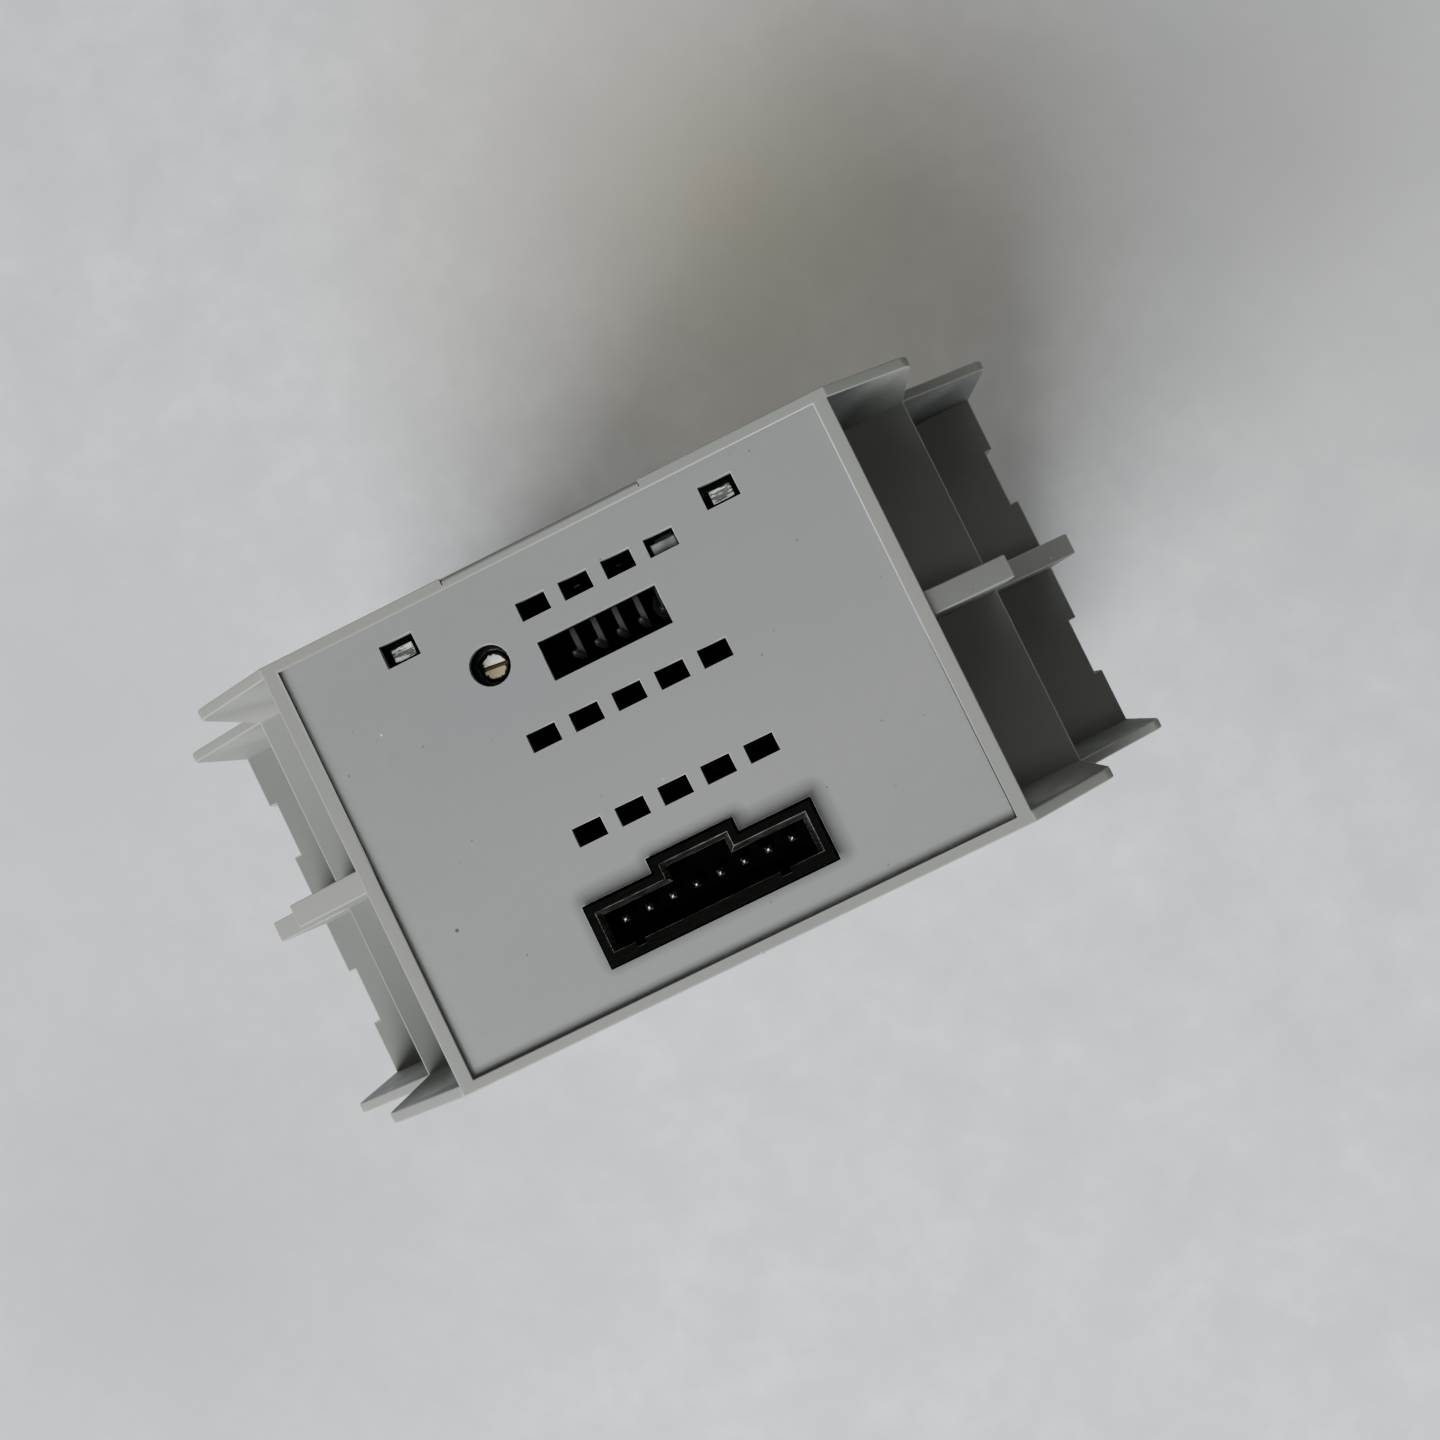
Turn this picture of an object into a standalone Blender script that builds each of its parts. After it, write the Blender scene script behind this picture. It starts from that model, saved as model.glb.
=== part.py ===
"""Stepper driver module: a stepped 45 mm housing for a 35 mm rail, holding two boards.

Millimetre values are turned into metres by the helpers. The module stands on its
back: +Z points out of the front panel, X runs along the long side and Y across the
narrow one. The origin is on the back plane, under the middle of the housing.
"""
import math

import bmesh
import bpy
from mathutils import Matrix, Vector

MM = 0.001
GAP = 0.3                       # between pieces that touch
CLOSE_GAP = 0.2                 # around the panel and the plug header

# housing envelope
TOP = 114.5                     # front rim above the back plane
HALF_WIDTH = 22.5               # 45 mm wide
CHEEK = 1.15                    # side wall thickness
WALL = 1.5                      # end walls and floors
NOSE_X = 29.73                  # outer face of the front block
STEP_1_X = 39.15                # outer edge of the upper floor
STEP_2_X = 49.17                # outer edge of the lower floor
FLOOR_1 = TOP - 21.83
FLOOR_2 = TOP - 41.71
TIP_1 = (38.8, TOP - 4.76)      # corners of the slanted cheeks
TIP_2 = (49.5, TOP - 26.4)
TIP_RADIUS = 1.7
RIB = 2.4                       # centre rib thickness
RIB_SHORT = 0.5                 # how far the rib stays inside the rim and the floor's edge
SPLIT = 38.0                    # parting plane of hood and base
CHEEK_IN = HALF_WIDTH - CHEEK
BAY_Y = (RIB / 2 + CHEEK_IN) / 2
FLOOR_NOTCH = (0.9, 6.9, 20.0)  # depth, width, height of the recess under each lower floor
TONGUE_HALF = 10.4              # chamfered stretch of rim over the panel's holding tongue
TONGUE_CHAMFER = 0.45
LABEL_RECESS = (21.0, 56.0, 92.0, 0.3)      # half width, low, high, depth, in both cheeks

# rail foot
RAIL_HALF = 17.75
RAIL_DEPTH = 7.0
SEAT_HALF = 15.4                # raised land that the rail lies on
SEAT_RELIEF = 0.3
HOOK_TOP = 5.6
HOOK_REACH = 1.75
BASE_FLOOR = 9.0
FOOT_CHAMFER = 3.0
SNAP_Y = 9.0                    # snap tongues stand inside the end walls
SNAP_Z = 44.8
SNAP_SIZE = (8.0, 3.0)
TONGUE_THICK = 1.6
INLET = (1.8, 14.0)             # air slots in the base's end walls
INLET_PITCH = 4.2
INLETS = 7
INLET_Z = 24.0
POCKET_X = ((20.5, 31.8), (33.8, 45.5))
POCKET_DEPTH = 7.0
POCKET_WALL = 1.0
GUIDE = (2.7, 0.8)              # reach and thickness of the board guides

# latch
LATCH_HALF = 7.0
LATCH_LOW, LATCH_HIGH = 2.0, 5.2
LATCH_IN, LATCH_OUT = -16.1, -48.8
WINDOW_IN, WINDOW_OUT = -27.0, -39.9
WINDOW_HALF = 2.6
LIP = (2.0, 0.2)                # the latch's slanted lead-in and raised edge
EYE = (-47.0, -45.0, 3.0)
POST_OUT, POST_IN = -39.5, -37.9
POST_HALF = 2.2
TUNNEL_LOW, TUNNEL_HIGH = 1.7, 5.5
TUNNEL_HALF = LATCH_HALF + 0.4
SLOT_HALF = 5.5
SLOT_END = -22.0
MOUTH_END = -44.5
SPRING_RADIUS = 1.15
SPRING_WIRE = 0.5
SPRING_TURNS = 6

# front panel
PANEL_DROP = 0.6                # below the rim
PANEL_THICK = 2.0
PANEL_HALF = (28.0, 21.15)
PANEL_TOP = TOP - PANEL_DROP
GRID_DEPTH = 3.5                # strips behind the vents
GRID_MARGIN = 1.0
LEDGE = (1.2, 1.5)
VENT = (3.0, 1.85)
VENT_PITCH = 4.5
VENT_X0 = -8.1
VENT_ROWS = ((16.27, 1, 4), (4.67, 0, 5), (-5.23, 0, 5))    # y, first column, count
LED_WINDOW = (3.45, 2.3)
LED_X = 16.9
LED_Y = 18.15
TRIMMER_AT = (-9.74, 13.05)
TRIMMER_HOLE = 4.0
TRIMMER_CASE = (-5.2, 3.3, -4.6, 6.8)       # left, right and near side from the axis, height
TRIMMER_COLLAR = (2.2, 1.2)
TRIMMER_BORE = 1.65
ROTOR = (1.4, 2.9)
ROTOR_SLOT = (0.5, 0.7)
LAMP = (2.7, 1.6, 10.0)
LAMP_DROP = 2.1
LAMP_FLANGE = (0.35, 3.0)
SERVICE_OPENING = (-4.8, 7.6, 9.0, 13.0)

# plug header for the motor
SHELL_HALF = 11.75
SHELL_Y = (-17.6, -11.5)
SHELL_KEY = (4.35, -10.0)       # half width and far side of the key bump
SHELL_WALL = 0.95
SHELL_TOP = TOP - 0.1
SHELL_DEPTH = 12.0
SHELL_FLOOR = 3.0
MOTOR_PINS = 8
MOTOR_TAIL_Z = SHELL_TOP - SHELL_DEPTH - 2.0
MOTOR_PITCH = 2.5
MOTOR_PIN_Y = -14.07
MOTOR_PIN_TOP = TOP - 1.0
CODING_X = (-8.2, 6.9)
CODING = (1.0, 0.5)
PIN = 0.64
PIN_WAY = PIN + 2 * GAP         # holes that the pins pass through
PIN_TAILS = (0.9, 0.35)         # behind the power board and the control board

# service header
SERVICE_PINS = 5
SERVICE_PITCH = 2.54
SERVICE_X0 = -3.5
SERVICE_PIN_Y = 12.0
SERVICE_TIP = TOP - 13.3
SERVICE_BEND = TOP - 20.5
SERVICE_BODY = (13.4, 2.5, 2.5)

# boards
BOARD = 1.6
POWER_Y = -18.1                 # component side, facing +Y
CONTROL_Y = 19.1                # component side, facing -Y
BOARD_EDGE = 0.9                # from the housing's inner faces
BOARD_LOW = 10.0
BOARD_TOP = TOP - 6.0
LINK_Z = 13.0
LINK_HALF = 34.0
SOCKET = (16.0, 5.0, 8.5)       # half length, thickness and height
SOCKET_SLOT = (14.5, 1.6, 2.7)  # half length, wall and floor

# spacers between the boards
SPACER_PLACES = ((33.0, 30.0), (-33.0, 80.0))
SPACER_RADIUS = 2.75
SPACER_BORE = (1.5, 6.5)
SCREW_HOLE = 1.8
SCREW_HEAD = 2.6
SCREW_SHANK = 1.15

# heat sink and driver chips
SINK_Z = (48.0, 76.0)
SINK_HALF = 21.0
SINK_BACK = -13.2
SINK_PLATE = 3.0
SINK_FINS = 8
FIN = 1.4
FIN_REACH = 11.0
DRIVER_X = 11.0
DRIVER_HALF = 7.5
DRIVER_Z = (50.0, 62.0, 74.5)   # foot of the body, top of the body, top of the tab
DRIVER_THICK = (4.2, 1.6)       # body and tab
DRIVER_HOLE_Z = 70.0
DRIVER_LEGS = 7
LEG_PITCH = 2.2
LEG = (0.8, 0.6, 10.0)
M3_HOLE = 1.9

# other parts on the boards
CAN = (6.25, 22.0)              # reservoir capacitors: radius and length
CAN_PLACES = ((-36.0, 56.0), (36.0, 56.0))
RESISTOR = (14.0, 6.4)
RESISTOR_PLACES = ((-9.0, 31.2), (9.0, 31.2))
CONTROLLER = (-18.0, -4.0, 58.0, 73.0)
CONTROLLER_LEGS = 5
CRYSTAL = (2.0, 10.0)
CRYSTAL_AT = (6.0, 60.0)
FILM = ((8.5, 12.2, PANEL_TOP - 21.0), (14.6, 17.0, PANEL_TOP - 8.0))
REGULATOR_AT = (23.0, 40.0)
REGULATOR = (10.0, 9.0, 4.4)    # width, height and thickness
REGULATOR_TAB = (9.6, 6.5, 1.3)

for old in list(bpy.data.objects):
    bpy.data.objects.remove(old, do_unlink=True)

MODULE = bpy.data.collections.new("stepper_driver_module")
bpy.context.scene.collection.children.link(MODULE)


def material(name, colour, roughness, metallic=0.0):
    made = bpy.data.materials.new(name)
    made.use_nodes = True
    shader = made.node_tree.nodes["Principled BSDF"]
    shader.inputs["Base Color"].default_value = (*colour, 1.0)
    shader.inputs["Roughness"].default_value = roughness
    shader.inputs["Metallic"].default_value = metallic
    return made


HOUSING_GREY = material("housing_grey", (0.32, 0.34, 0.345), 0.55)
PANEL_GREY = material("panel_grey", (0.31, 0.335, 0.36), 0.5)
LATCH_GREY = material("latch_grey", (0.22, 0.23, 0.24), 0.5)
BLACK_PLASTIC = material("black_plastic", (0.012, 0.013, 0.014), 0.45)
CLEAR_PLASTIC = material("clear_plastic", (0.62, 0.64, 0.63), 0.25)
FILM_GREY = material("film_grey", (0.45, 0.47, 0.48), 0.4)
TRIMMER_BLUE = material("trimmer_blue", (0.03, 0.09, 0.28), 0.4)
CERAMIC = material("ceramic", (0.68, 0.66, 0.6), 0.6)
BOARD_GREEN = material("board_green", (0.015, 0.09, 0.045), 0.4)
BRASS = material("brass", (0.72, 0.62, 0.42), 0.3, 1.0)
TIN = material("tin", (0.75, 0.75, 0.73), 0.3, 1.0)
STEEL = material("steel", (0.6, 0.6, 0.61), 0.3, 1.0)
ALUMINIUM = material("aluminium", (0.6, 0.61, 0.62), 0.4, 1.0)
SLEEVE = material("capacitor_sleeve", (0.02, 0.025, 0.05), 0.35)


def point(x, y, z):
    return Vector((x, y, z)) * MM


def place(name, mesh, where=(0, 0, 0)):
    """A new object around a mesh, in the module's collection."""
    made = bpy.data.objects.new(name, mesh)
    made.location = point(*where)
    MODULE.objects.link(made)
    return made


def finish(made, look, smooth=False):
    """Give a piece its material, and round shading where it is turned."""
    made.data.materials.clear()
    made.data.materials.append(look)
    if smooth:
        made.data.shade_smooth()
        made.data.set_sharp_from_angle(angle=math.radians(35))
    return made


def box(name, low, high):
    """A block between two corners, with its origin in its middle."""
    low, high = Vector(low), Vector(high)
    mesh = bpy.data.meshes.new(name)
    work = bmesh.new()
    bmesh.ops.create_cube(work, size=1.0)
    bmesh.ops.scale(work, vec=(high - low) * MM, verts=work.verts)
    work.to_mesh(mesh)
    work.free()
    return place(name, mesh, (low + high) / 2)


def cylinder(name, radius, start, axis, length, sides=24):
    """A round bar that starts at a point and runs along +Y or +Z."""
    turns = {"Y": Matrix.Rotation(-math.pi / 2, 4, "X"), "Z": Matrix.Identity(4)}
    mesh = bpy.data.meshes.new(name)
    work = bmesh.new()
    bmesh.ops.create_cone(work, cap_ends=True, segments=sides, radius1=radius * MM,
                          radius2=radius * MM, depth=length * MM)
    bmesh.ops.translate(work, verts=work.verts, vec=(0, 0, length * MM / 2))
    bmesh.ops.transform(work, matrix=turns[axis], verts=work.verts)
    work.to_mesh(mesh)
    work.free()
    return place(name, mesh, start)


def plate(name, outline, axis, low, high, holes=()):
    """A flat outline with holes, filled and thickened from low to high along an axis.

    The outline is in (x, z) for axis Y, in (x, y) for axis Z, and in (y, z) for axis X.
    """
    turns = {"Y": Matrix(((1, 0, 0), (0, 0, -1), (0, 1, 0))),
             "Z": Matrix.Identity(3),
             "X": Matrix(((0, 0, 1), (1, 0, 0), (0, 1, 0)))}
    curve = bpy.data.curves.new(name, "CURVE")
    curve.dimensions = "2D"
    curve.fill_mode = "BOTH"
    curve.extrude = (high - low) * MM / 2
    for loop in (outline, *holes):
        spline = curve.splines.new("POLY")
        spline.points.add(len(loop) - 1)
        for spot, (u, v) in zip(spline.points, loop):
            spot.co = (u * MM, v * MM, 0, 1)
        spline.use_cyclic_u = True
    guide = bpy.data.objects.new(name + "_outline", curve)
    MODULE.objects.link(guide)
    bpy.context.view_layer.update()
    shape = guide.evaluated_get(bpy.context.evaluated_depsgraph_get())
    mesh = bpy.data.meshes.new_from_object(shape)
    bpy.data.objects.remove(guide, do_unlink=True)
    work = bmesh.new()
    work.from_mesh(mesh)
    bmesh.ops.remove_doubles(work, verts=work.verts, dist=1e-6)
    bmesh.ops.recalc_face_normals(work, faces=work.faces)
    work.to_mesh(mesh)
    work.free()
    middle = {"X": ((low + high) / 2, 0, 0), "Y": (0, (low + high) / 2, 0),
              "Z": (0, 0, (low + high) / 2)}
    made = place(name, mesh, middle[axis])
    made.rotation_euler = turns[axis].to_euler()
    return made


def combine(base, others, operation):
    """Join other pieces to a base, or cut them out of it, and remove them."""
    for other in others:
        step = base.modifiers.new(operation.lower(), "BOOLEAN")
        step.operation = operation
        step.solver = "EXACT"
        step.object = other
        bpy.context.view_layer.update()
        shape = base.evaluated_get(bpy.context.evaluated_depsgraph_get())
        mesh = bpy.data.meshes.new_from_object(shape)
        base.modifiers.remove(step)
        base.data = mesh
        bpy.data.objects.remove(other, do_unlink=True)
    work = bmesh.new()
    work.from_mesh(base.data)
    bmesh.ops.remove_doubles(work, verts=work.verts, dist=1e-6)
    bmesh.ops.dissolve_limit(work, angle_limit=math.radians(0.5), verts=work.verts,
                             edges=work.edges)
    work.to_mesh(base.data)
    work.free()
    return base


def union(base, others):
    return combine(base, others, "UNION")


def cut(base, others):
    return combine(base, others, "DIFFERENCE")


def rectangle(x, y, size):
    """The outline of a rectangle about its middle."""
    half_x, half_y = size[0] / 2, size[1] / 2
    return [(x - half_x, y - half_y), (x + half_x, y - half_y),
            (x + half_x, y + half_y), (x - half_x, y + half_y)]


def circle(x, y, radius, sides=24):
    """The outline of a circle."""
    turns = [2 * math.pi * step / sides for step in range(sides)]
    return [(x + radius * math.cos(turn), y + radius * math.sin(turn)) for turn in turns]


def rounded(corner, before, after, radius, steps=4):
    """Points of the arc that rounds a corner between its two neighbours."""
    corner, before, after = Vector(corner), Vector(before), Vector(after)
    to_before = (before - corner).normalized()
    to_after = (after - corner).normalized()
    half = to_before.angle(to_after) / 2
    centre = corner + (to_before + to_after).normalized() * radius / math.sin(half)
    reach = radius / math.tan(half)
    start = corner + to_before * reach - centre
    end = corner + to_after * reach - centre
    sweep = start.angle(end)
    points = []
    for step in range(steps + 1):
        share = step / steps
        spot = (start * math.sin((1 - share) * sweep) + end * math.sin(share * sweep))
        points.append(tuple(centre + spot / math.sin(sweep)))
    return points


def mirrored(half):
    """An outline that is closed by its own mirror image in x."""
    return half + [(-x, z) for x, z in reversed(half)]


def cheek_outline():
    """Side wall of the hood, from the parting plane up, with its two slanted teeth."""
    foot = (STEP_1_X, FLOOR_1)
    half = [(STEP_2_X, SPLIT + GAP / 2)]
    half += rounded(TIP_2, (STEP_2_X, SPLIT), foot, TIP_RADIUS)
    half += [foot]
    half += rounded(TIP_1, foot, (NOSE_X, TOP), TIP_RADIUS)
    half += [(NOSE_X, TOP)]
    return mirrored(half)


def rib_outline():
    """Centre rib in the recesses at one end, let into the walls behind it."""
    into = WALL / 2
    return [(NOSE_X - into, FLOOR_1 - into), (STEP_1_X - into, FLOOR_1 - into),
            (STEP_1_X - into, FLOOR_2 - into), (STEP_2_X - RIB_SHORT, FLOOR_2 - into),
            (TIP_2[0], TIP_2[1] - 0.8), (STEP_1_X - RIB_SHORT, FLOOR_1), (TIP_1[0] - 0.1, TIP_1[1]),
            (NOSE_X, TOP - RIB_SHORT), (NOSE_X - into, TOP - RIB_SHORT)]


def stair_outline():
    """Section of the stepped end wall, with its ledge for the front panel."""
    inside = NOSE_X - WALL
    ledge_top = PANEL_TOP - PANEL_THICK - GAP
    return [(NOSE_X, TOP), (NOSE_X, FLOOR_1), (STEP_1_X, FLOOR_1), (STEP_1_X, FLOOR_2),
            (STEP_2_X, FLOOR_2), (STEP_2_X, SPLIT + GAP / 2),
            (STEP_2_X - WALL, SPLIT + GAP / 2), (STEP_2_X - WALL, FLOOR_2 - WALL),
            (STEP_1_X - WALL, FLOOR_2 - WALL), (STEP_1_X - WALL, FLOOR_1 - WALL),
            (inside, FLOOR_1 - WALL), (inside, ledge_top - LEDGE[1] - LEDGE[0]),
            (inside - LEDGE[0], ledge_top - LEDGE[1]), (inside - LEDGE[0], ledge_top),
            (inside, ledge_top), (inside, TOP)]


def flipped(outline, side):
    return [(side * x, z) for x, z in outline]


def build_upper_housing():
    """Hood: two cheeks, two stepped end walls and a rib in each end's recesses."""
    into = HALF_WIDTH - CHEEK / 2
    hood = plate("upper_housing", cheek_outline(), "Y", CHEEK_IN, HALF_WIDTH)
    pieces = [plate("cheek", cheek_outline(), "Y", -HALF_WIDTH, -CHEEK_IN)]
    for side in (1, -1):
        pieces.append(plate("stair", flipped(stair_outline(), side), "Y", -into, into))
        pieces.append(plate("rib", flipped(rib_outline(), side), "Y", -RIB / 2, RIB / 2))
    union(hood, pieces[1:2])
    union(hood, pieces[3:4] + pieces[:1] + pieces[2:3] + pieces[4:5])
    depth, width, height = FLOOR_NOTCH
    cutters = []
    for side in (1, -1):
        for lane in (BAY_Y, -BAY_Y):
            ends = sorted((side * (STEP_2_X - depth), side * (STEP_2_X + 1)))
            cutters.append(box("notch", (ends[0], lane - width / 2, FLOOR_2 - height),
                               (ends[1], lane + width / 2, FLOOR_2 + 0.5)))
        for lane in (SNAP_Y, -SNAP_Y):
            faces = sorted((side * (STEP_2_X - WALL - 0.5), side * (STEP_2_X + 0.5)))
            wide, high = SNAP_SIZE
            cutters.append(box("window", (faces[0], lane - wide / 2, SNAP_Z - high / 2),
                               (faces[1], lane + wide / 2, SNAP_Z + high / 2)))
    half, low, high, depth = LABEL_RECESS
    for cheek in (1, -1):
        faces = sorted((cheek * (HALF_WIDTH - depth), cheek * (HALF_WIDTH + 1)))
        cutters.append(box("label", (-half, faces[0], low), (half, faces[1], high)))
    edge = TONGUE_CHAMFER + 0.1
    wedge = [(HALF_WIDTH + 0.1, TOP - edge), (HALF_WIDTH + 0.1, TOP + 0.1), (HALF_WIDTH - edge, TOP + 0.1)]
    cutters.append(plate("chamfer", wedge, "X", -TONGUE_HALF, TONGUE_HALF))
    return finish(cut(hood, cutters), HOUSING_GREY)


def base_outline():
    """Outside of the base, seen along the rail: walls, feet, rail channel and hook."""
    rim = SPLIT - GAP / 2
    relief = RAIL_DEPTH + SEAT_RELIEF
    return [(-STEP_2_X, rim), (-STEP_2_X, FOOT_CHAMFER), (FOOT_CHAMFER - STEP_2_X, 0),
            (-RAIL_HALF, 0), (-RAIL_HALF, relief), (-SEAT_HALF, relief), (-SEAT_HALF, RAIL_DEPTH),
            (SEAT_HALF, RAIL_DEPTH), (SEAT_HALF, relief), (RAIL_HALF, relief),
            (RAIL_HALF, HOOK_TOP), (RAIL_HALF - HOOK_REACH, HOOK_TOP),
            (RAIL_HALF - HOOK_REACH, HOOK_TOP - 1.2), (RAIL_HALF, HOOK_TOP - 3.2),
            (RAIL_HALF, 0), (STEP_2_X - FOOT_CHAMFER, 0), (STEP_2_X, FOOT_CHAMFER),
            (STEP_2_X, rim)]


def base_cutters():
    """Latch tunnel with its slot and mouth, pockets under the feet, and air slots."""
    cutters = [box("tunnel", (-60, -TUNNEL_HALF, TUNNEL_LOW), (1 - RAIL_HALF, TUNNEL_HALF, TUNNEL_HIGH)),
               box("slot", (-60, -SLOT_HALF, -1), (SLOT_END, SLOT_HALF, TUNNEL_LOW + 0.5)),
               box("mouth", (-60, -TUNNEL_HALF, -1), (MOUTH_END, TUNNEL_HALF, TUNNEL_HIGH))]
    outer = CHEEK_IN - POCKET_WALL
    beside_latch = TUNNEL_HALF + 2.8
    for low, high in POCKET_X:
        for near, far in ((POCKET_WALL, outer), (-outer, -POCKET_WALL)):
            cutters.append(box("pocket", (low, near, -1), (high, far, POCKET_DEPTH)))
        for near, far in ((beside_latch, outer), (-outer, -beside_latch)):
            cutters.append(box("pocket", (-high, near, -1), (-low, far, POCKET_DEPTH)))
    for side in (1, -1):
        x = sorted((side * (STEP_2_X - WALL - 0.5), side * (STEP_2_X + 0.5)))
        for step in range(INLETS):
            y = (step - (INLETS - 1) / 2) * INLET_PITCH
            cutters.append(box("inlet", (x[0], y - INLET[0] / 2, INLET_Z - INLET[1] / 2),
                               (x[1], y + INLET[0] / 2, INLET_Z + INLET[1] / 2)))
    return cutters


def build_base_housing():
    """Tray with feet, rail channel, hook, latch tunnel, snap tongues and board guides."""
    into = HALF_WIDTH - CHEEK / 2
    rim = SPLIT - GAP / 2
    inner = [(STEP_2_X - WALL, rim), (STEP_2_X - WALL, BASE_FLOOR),
             (WALL - STEP_2_X, BASE_FLOOR), (WALL - STEP_2_X, rim)]
    tray = plate("base_housing", base_outline() + inner, "Y", -into, into)
    pieces = []
    for cheek in (1, -1):
        low, high = sorted((cheek * CHEEK_IN, cheek * HALF_WIDTH))
        pieces.append(plate("cheek", base_outline(), "Y", low, high))
    half = SNAP_SIZE[0] / 2 - GAP
    inside = STEP_2_X - WALL
    back = inside - GAP - TONGUE_THICK
    for side in (1, -1):
        for lane in (SNAP_Y, -SNAP_Y):
            for name, near, far, low, high in (
                    ("tongue", back, inside - GAP, SPLIT - 9, SNAP_Z + 3.2),
                    ("root", back + 0.5, inside + 0.5, SPLIT - 9, SPLIT - 1),
                    ("bump", back + 0.5, STEP_2_X - 0.35, SNAP_Z - 1.1, SNAP_Z + 1.1)):
                x = sorted((side * near, side * far))
                pieces.append(box(name, (x[0], lane - half, low), (x[1], lane + half, high)))
        x = sorted((side * (inside + 0.5), side * (inside + 0.5 - GUIDE[0])))
        for face, outward in ((POWER_Y - BOARD - GAP, -1), (POWER_Y + GAP, 1),
                              (CONTROL_Y - GAP, -1), (CONTROL_Y + BOARD + GAP, 1)):
            y = sorted((face, face + outward * GUIDE[1]))
            pieces.append(box("guide", (x[0], y[0], BASE_FLOOR - 0.5), (x[1], y[1], SPLIT - 2)))
    union(tray, pieces)
    cut(tray, base_cutters())
    post = box("post", (POST_OUT, -POST_HALF, LATCH_LOW + 0.2), (POST_IN, POST_HALF, TUNNEL_HIGH + 0.8))
    union(tray, [post])
    return finish(tray, HOUSING_GREY)


def vent_places():
    """The middle of every vent in the front panel."""
    return [(VENT_X0 + VENT_PITCH * (first + step), y)
            for y, first, count in VENT_ROWS for step in range(count)]


def shell_outline(inset):
    """Outline of the plug header with its key bump, drawn in by an inset."""
    x, key_x = SHELL_HALF - inset, SHELL_KEY[0] - inset
    low, high, key = SHELL_Y[0] + inset, SHELL_Y[1] - inset, SHELL_KEY[1] - inset
    return [(-x, low), (x, low), (x, high), (key_x, high), (key_x, key),
            (-key_x, key), (-key_x, high), (-x, high)]


def build_front_panel():
    """Plate with two windows, the trimmer hole, vents and two connector openings."""
    low = PANEL_TOP - PANEL_THICK
    left, right, near, far = SERVICE_OPENING
    holes = [rectangle(side * LED_X, LED_Y, LED_WINDOW) for side in (1, -1)]
    holes.append(circle(*TRIMMER_AT, TRIMMER_HOLE / 2))
    holes.append([(left, near), (right, near), (right, far), (left, far)])
    holes.append(shell_outline(-CLOSE_GAP))
    outline = rectangle(0, 0, (2 * PANEL_HALF[0], 2 * PANEL_HALF[1]))
    panel = plate("front_panel", outline, "Z", low, PANEL_TOP, holes)
    strips = []
    for y, first, count in VENT_ROWS:
        middle = VENT_X0 + VENT_PITCH * (first + (count - 1) / 2)
        half_x = (VENT_PITCH * (count - 1) + VENT[0]) / 2 + GRID_MARGIN
        half_y = VENT[1] / 2 + GRID_MARGIN
        strips.append(box("grid", (middle - half_x, y - half_y, low - GRID_DEPTH),
                          (middle + half_x, y + half_y, low + 0.5)))
    union(panel, strips)
    vents = [box("vent", (x - VENT[0] / 2, y - VENT[1] / 2, low - GRID_DEPTH - 1),
                 (x + VENT[0] / 2, y + VENT[1] / 2, TOP)) for x, y in vent_places()]
    return finish(cut(panel, vents), PANEL_GREY)


def build_rail_latch():
    """Sliding plate that holds the rail, with a spring window and a screwdriver eye."""
    lead, raised = LIP
    section = [(LATCH_IN, LATCH_HIGH + raised), (LATCH_IN, LATCH_HIGH - 1.0),
               (LATCH_IN - lead, LATCH_LOW), (LATCH_OUT, LATCH_LOW), (LATCH_OUT, LATCH_HIGH),
               (LATCH_IN - lead - 1.0, LATCH_HIGH), (LATCH_IN - lead - 0.4, LATCH_HIGH + raised)]
    latch = plate("rail_latch", section, "Y", -LATCH_HALF, LATCH_HALF)
    window = box("window", (WINDOW_OUT, -WINDOW_HALF, 0), (WINDOW_IN, WINDOW_HALF, 9))
    eye = box("eye", (EYE[0], -EYE[2], 0), (EYE[1], EYE[2], 9))
    return finish(cut(latch, [window, eye]), LATCH_GREY)


def build_latch_spring():
    """Coil spring between the base's post and the inner end of the latch's window."""
    start, end = POST_IN + 0.6, WINDOW_IN - 0.6
    curve = bpy.data.curves.new("latch_spring", "CURVE")
    curve.dimensions = "3D"
    curve.bevel_depth = SPRING_WIRE / 2 * MM
    curve.bevel_resolution = 1
    curve.use_fill_caps = True
    steps = SPRING_TURNS * 10
    spline = curve.splines.new("POLY")
    spline.points.add(steps)
    for step, spot in enumerate(spline.points):
        turn = 2 * math.pi * SPRING_TURNS * step / steps
        spot.co = ((start + (end - start) * step / steps) * MM, SPRING_RADIUS * math.cos(turn) * MM,
                   SPRING_RADIUS * math.sin(turn) * MM, 1)
    spring = place("latch_spring", curve, (0, 0, (LATCH_LOW + LATCH_HIGH) / 2))
    spring.data.materials.append(STEEL)
    return spring


def board_outline():
    """Outline of a standing board that follows the stepped hood."""
    inset = WALL + BOARD_EDGE
    nose = NOSE_X - WALL - LEDGE[0] - 0.4
    return mirrored([(STEP_2_X - inset, BOARD_LOW), (STEP_2_X - inset, FLOOR_2 - inset),
                     (STEP_1_X - inset, FLOOR_2 - inset), (STEP_1_X - inset, FLOOR_1 - inset),
                     (nose, FLOOR_1 - inset), (nose, BOARD_TOP)])


def motor_pin_x(index):
    return (index - (MOTOR_PINS - 1) / 2) * MOTOR_PITCH


def service_pin_x(index):
    return SERVICE_X0 + index * SERVICE_PITCH


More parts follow.
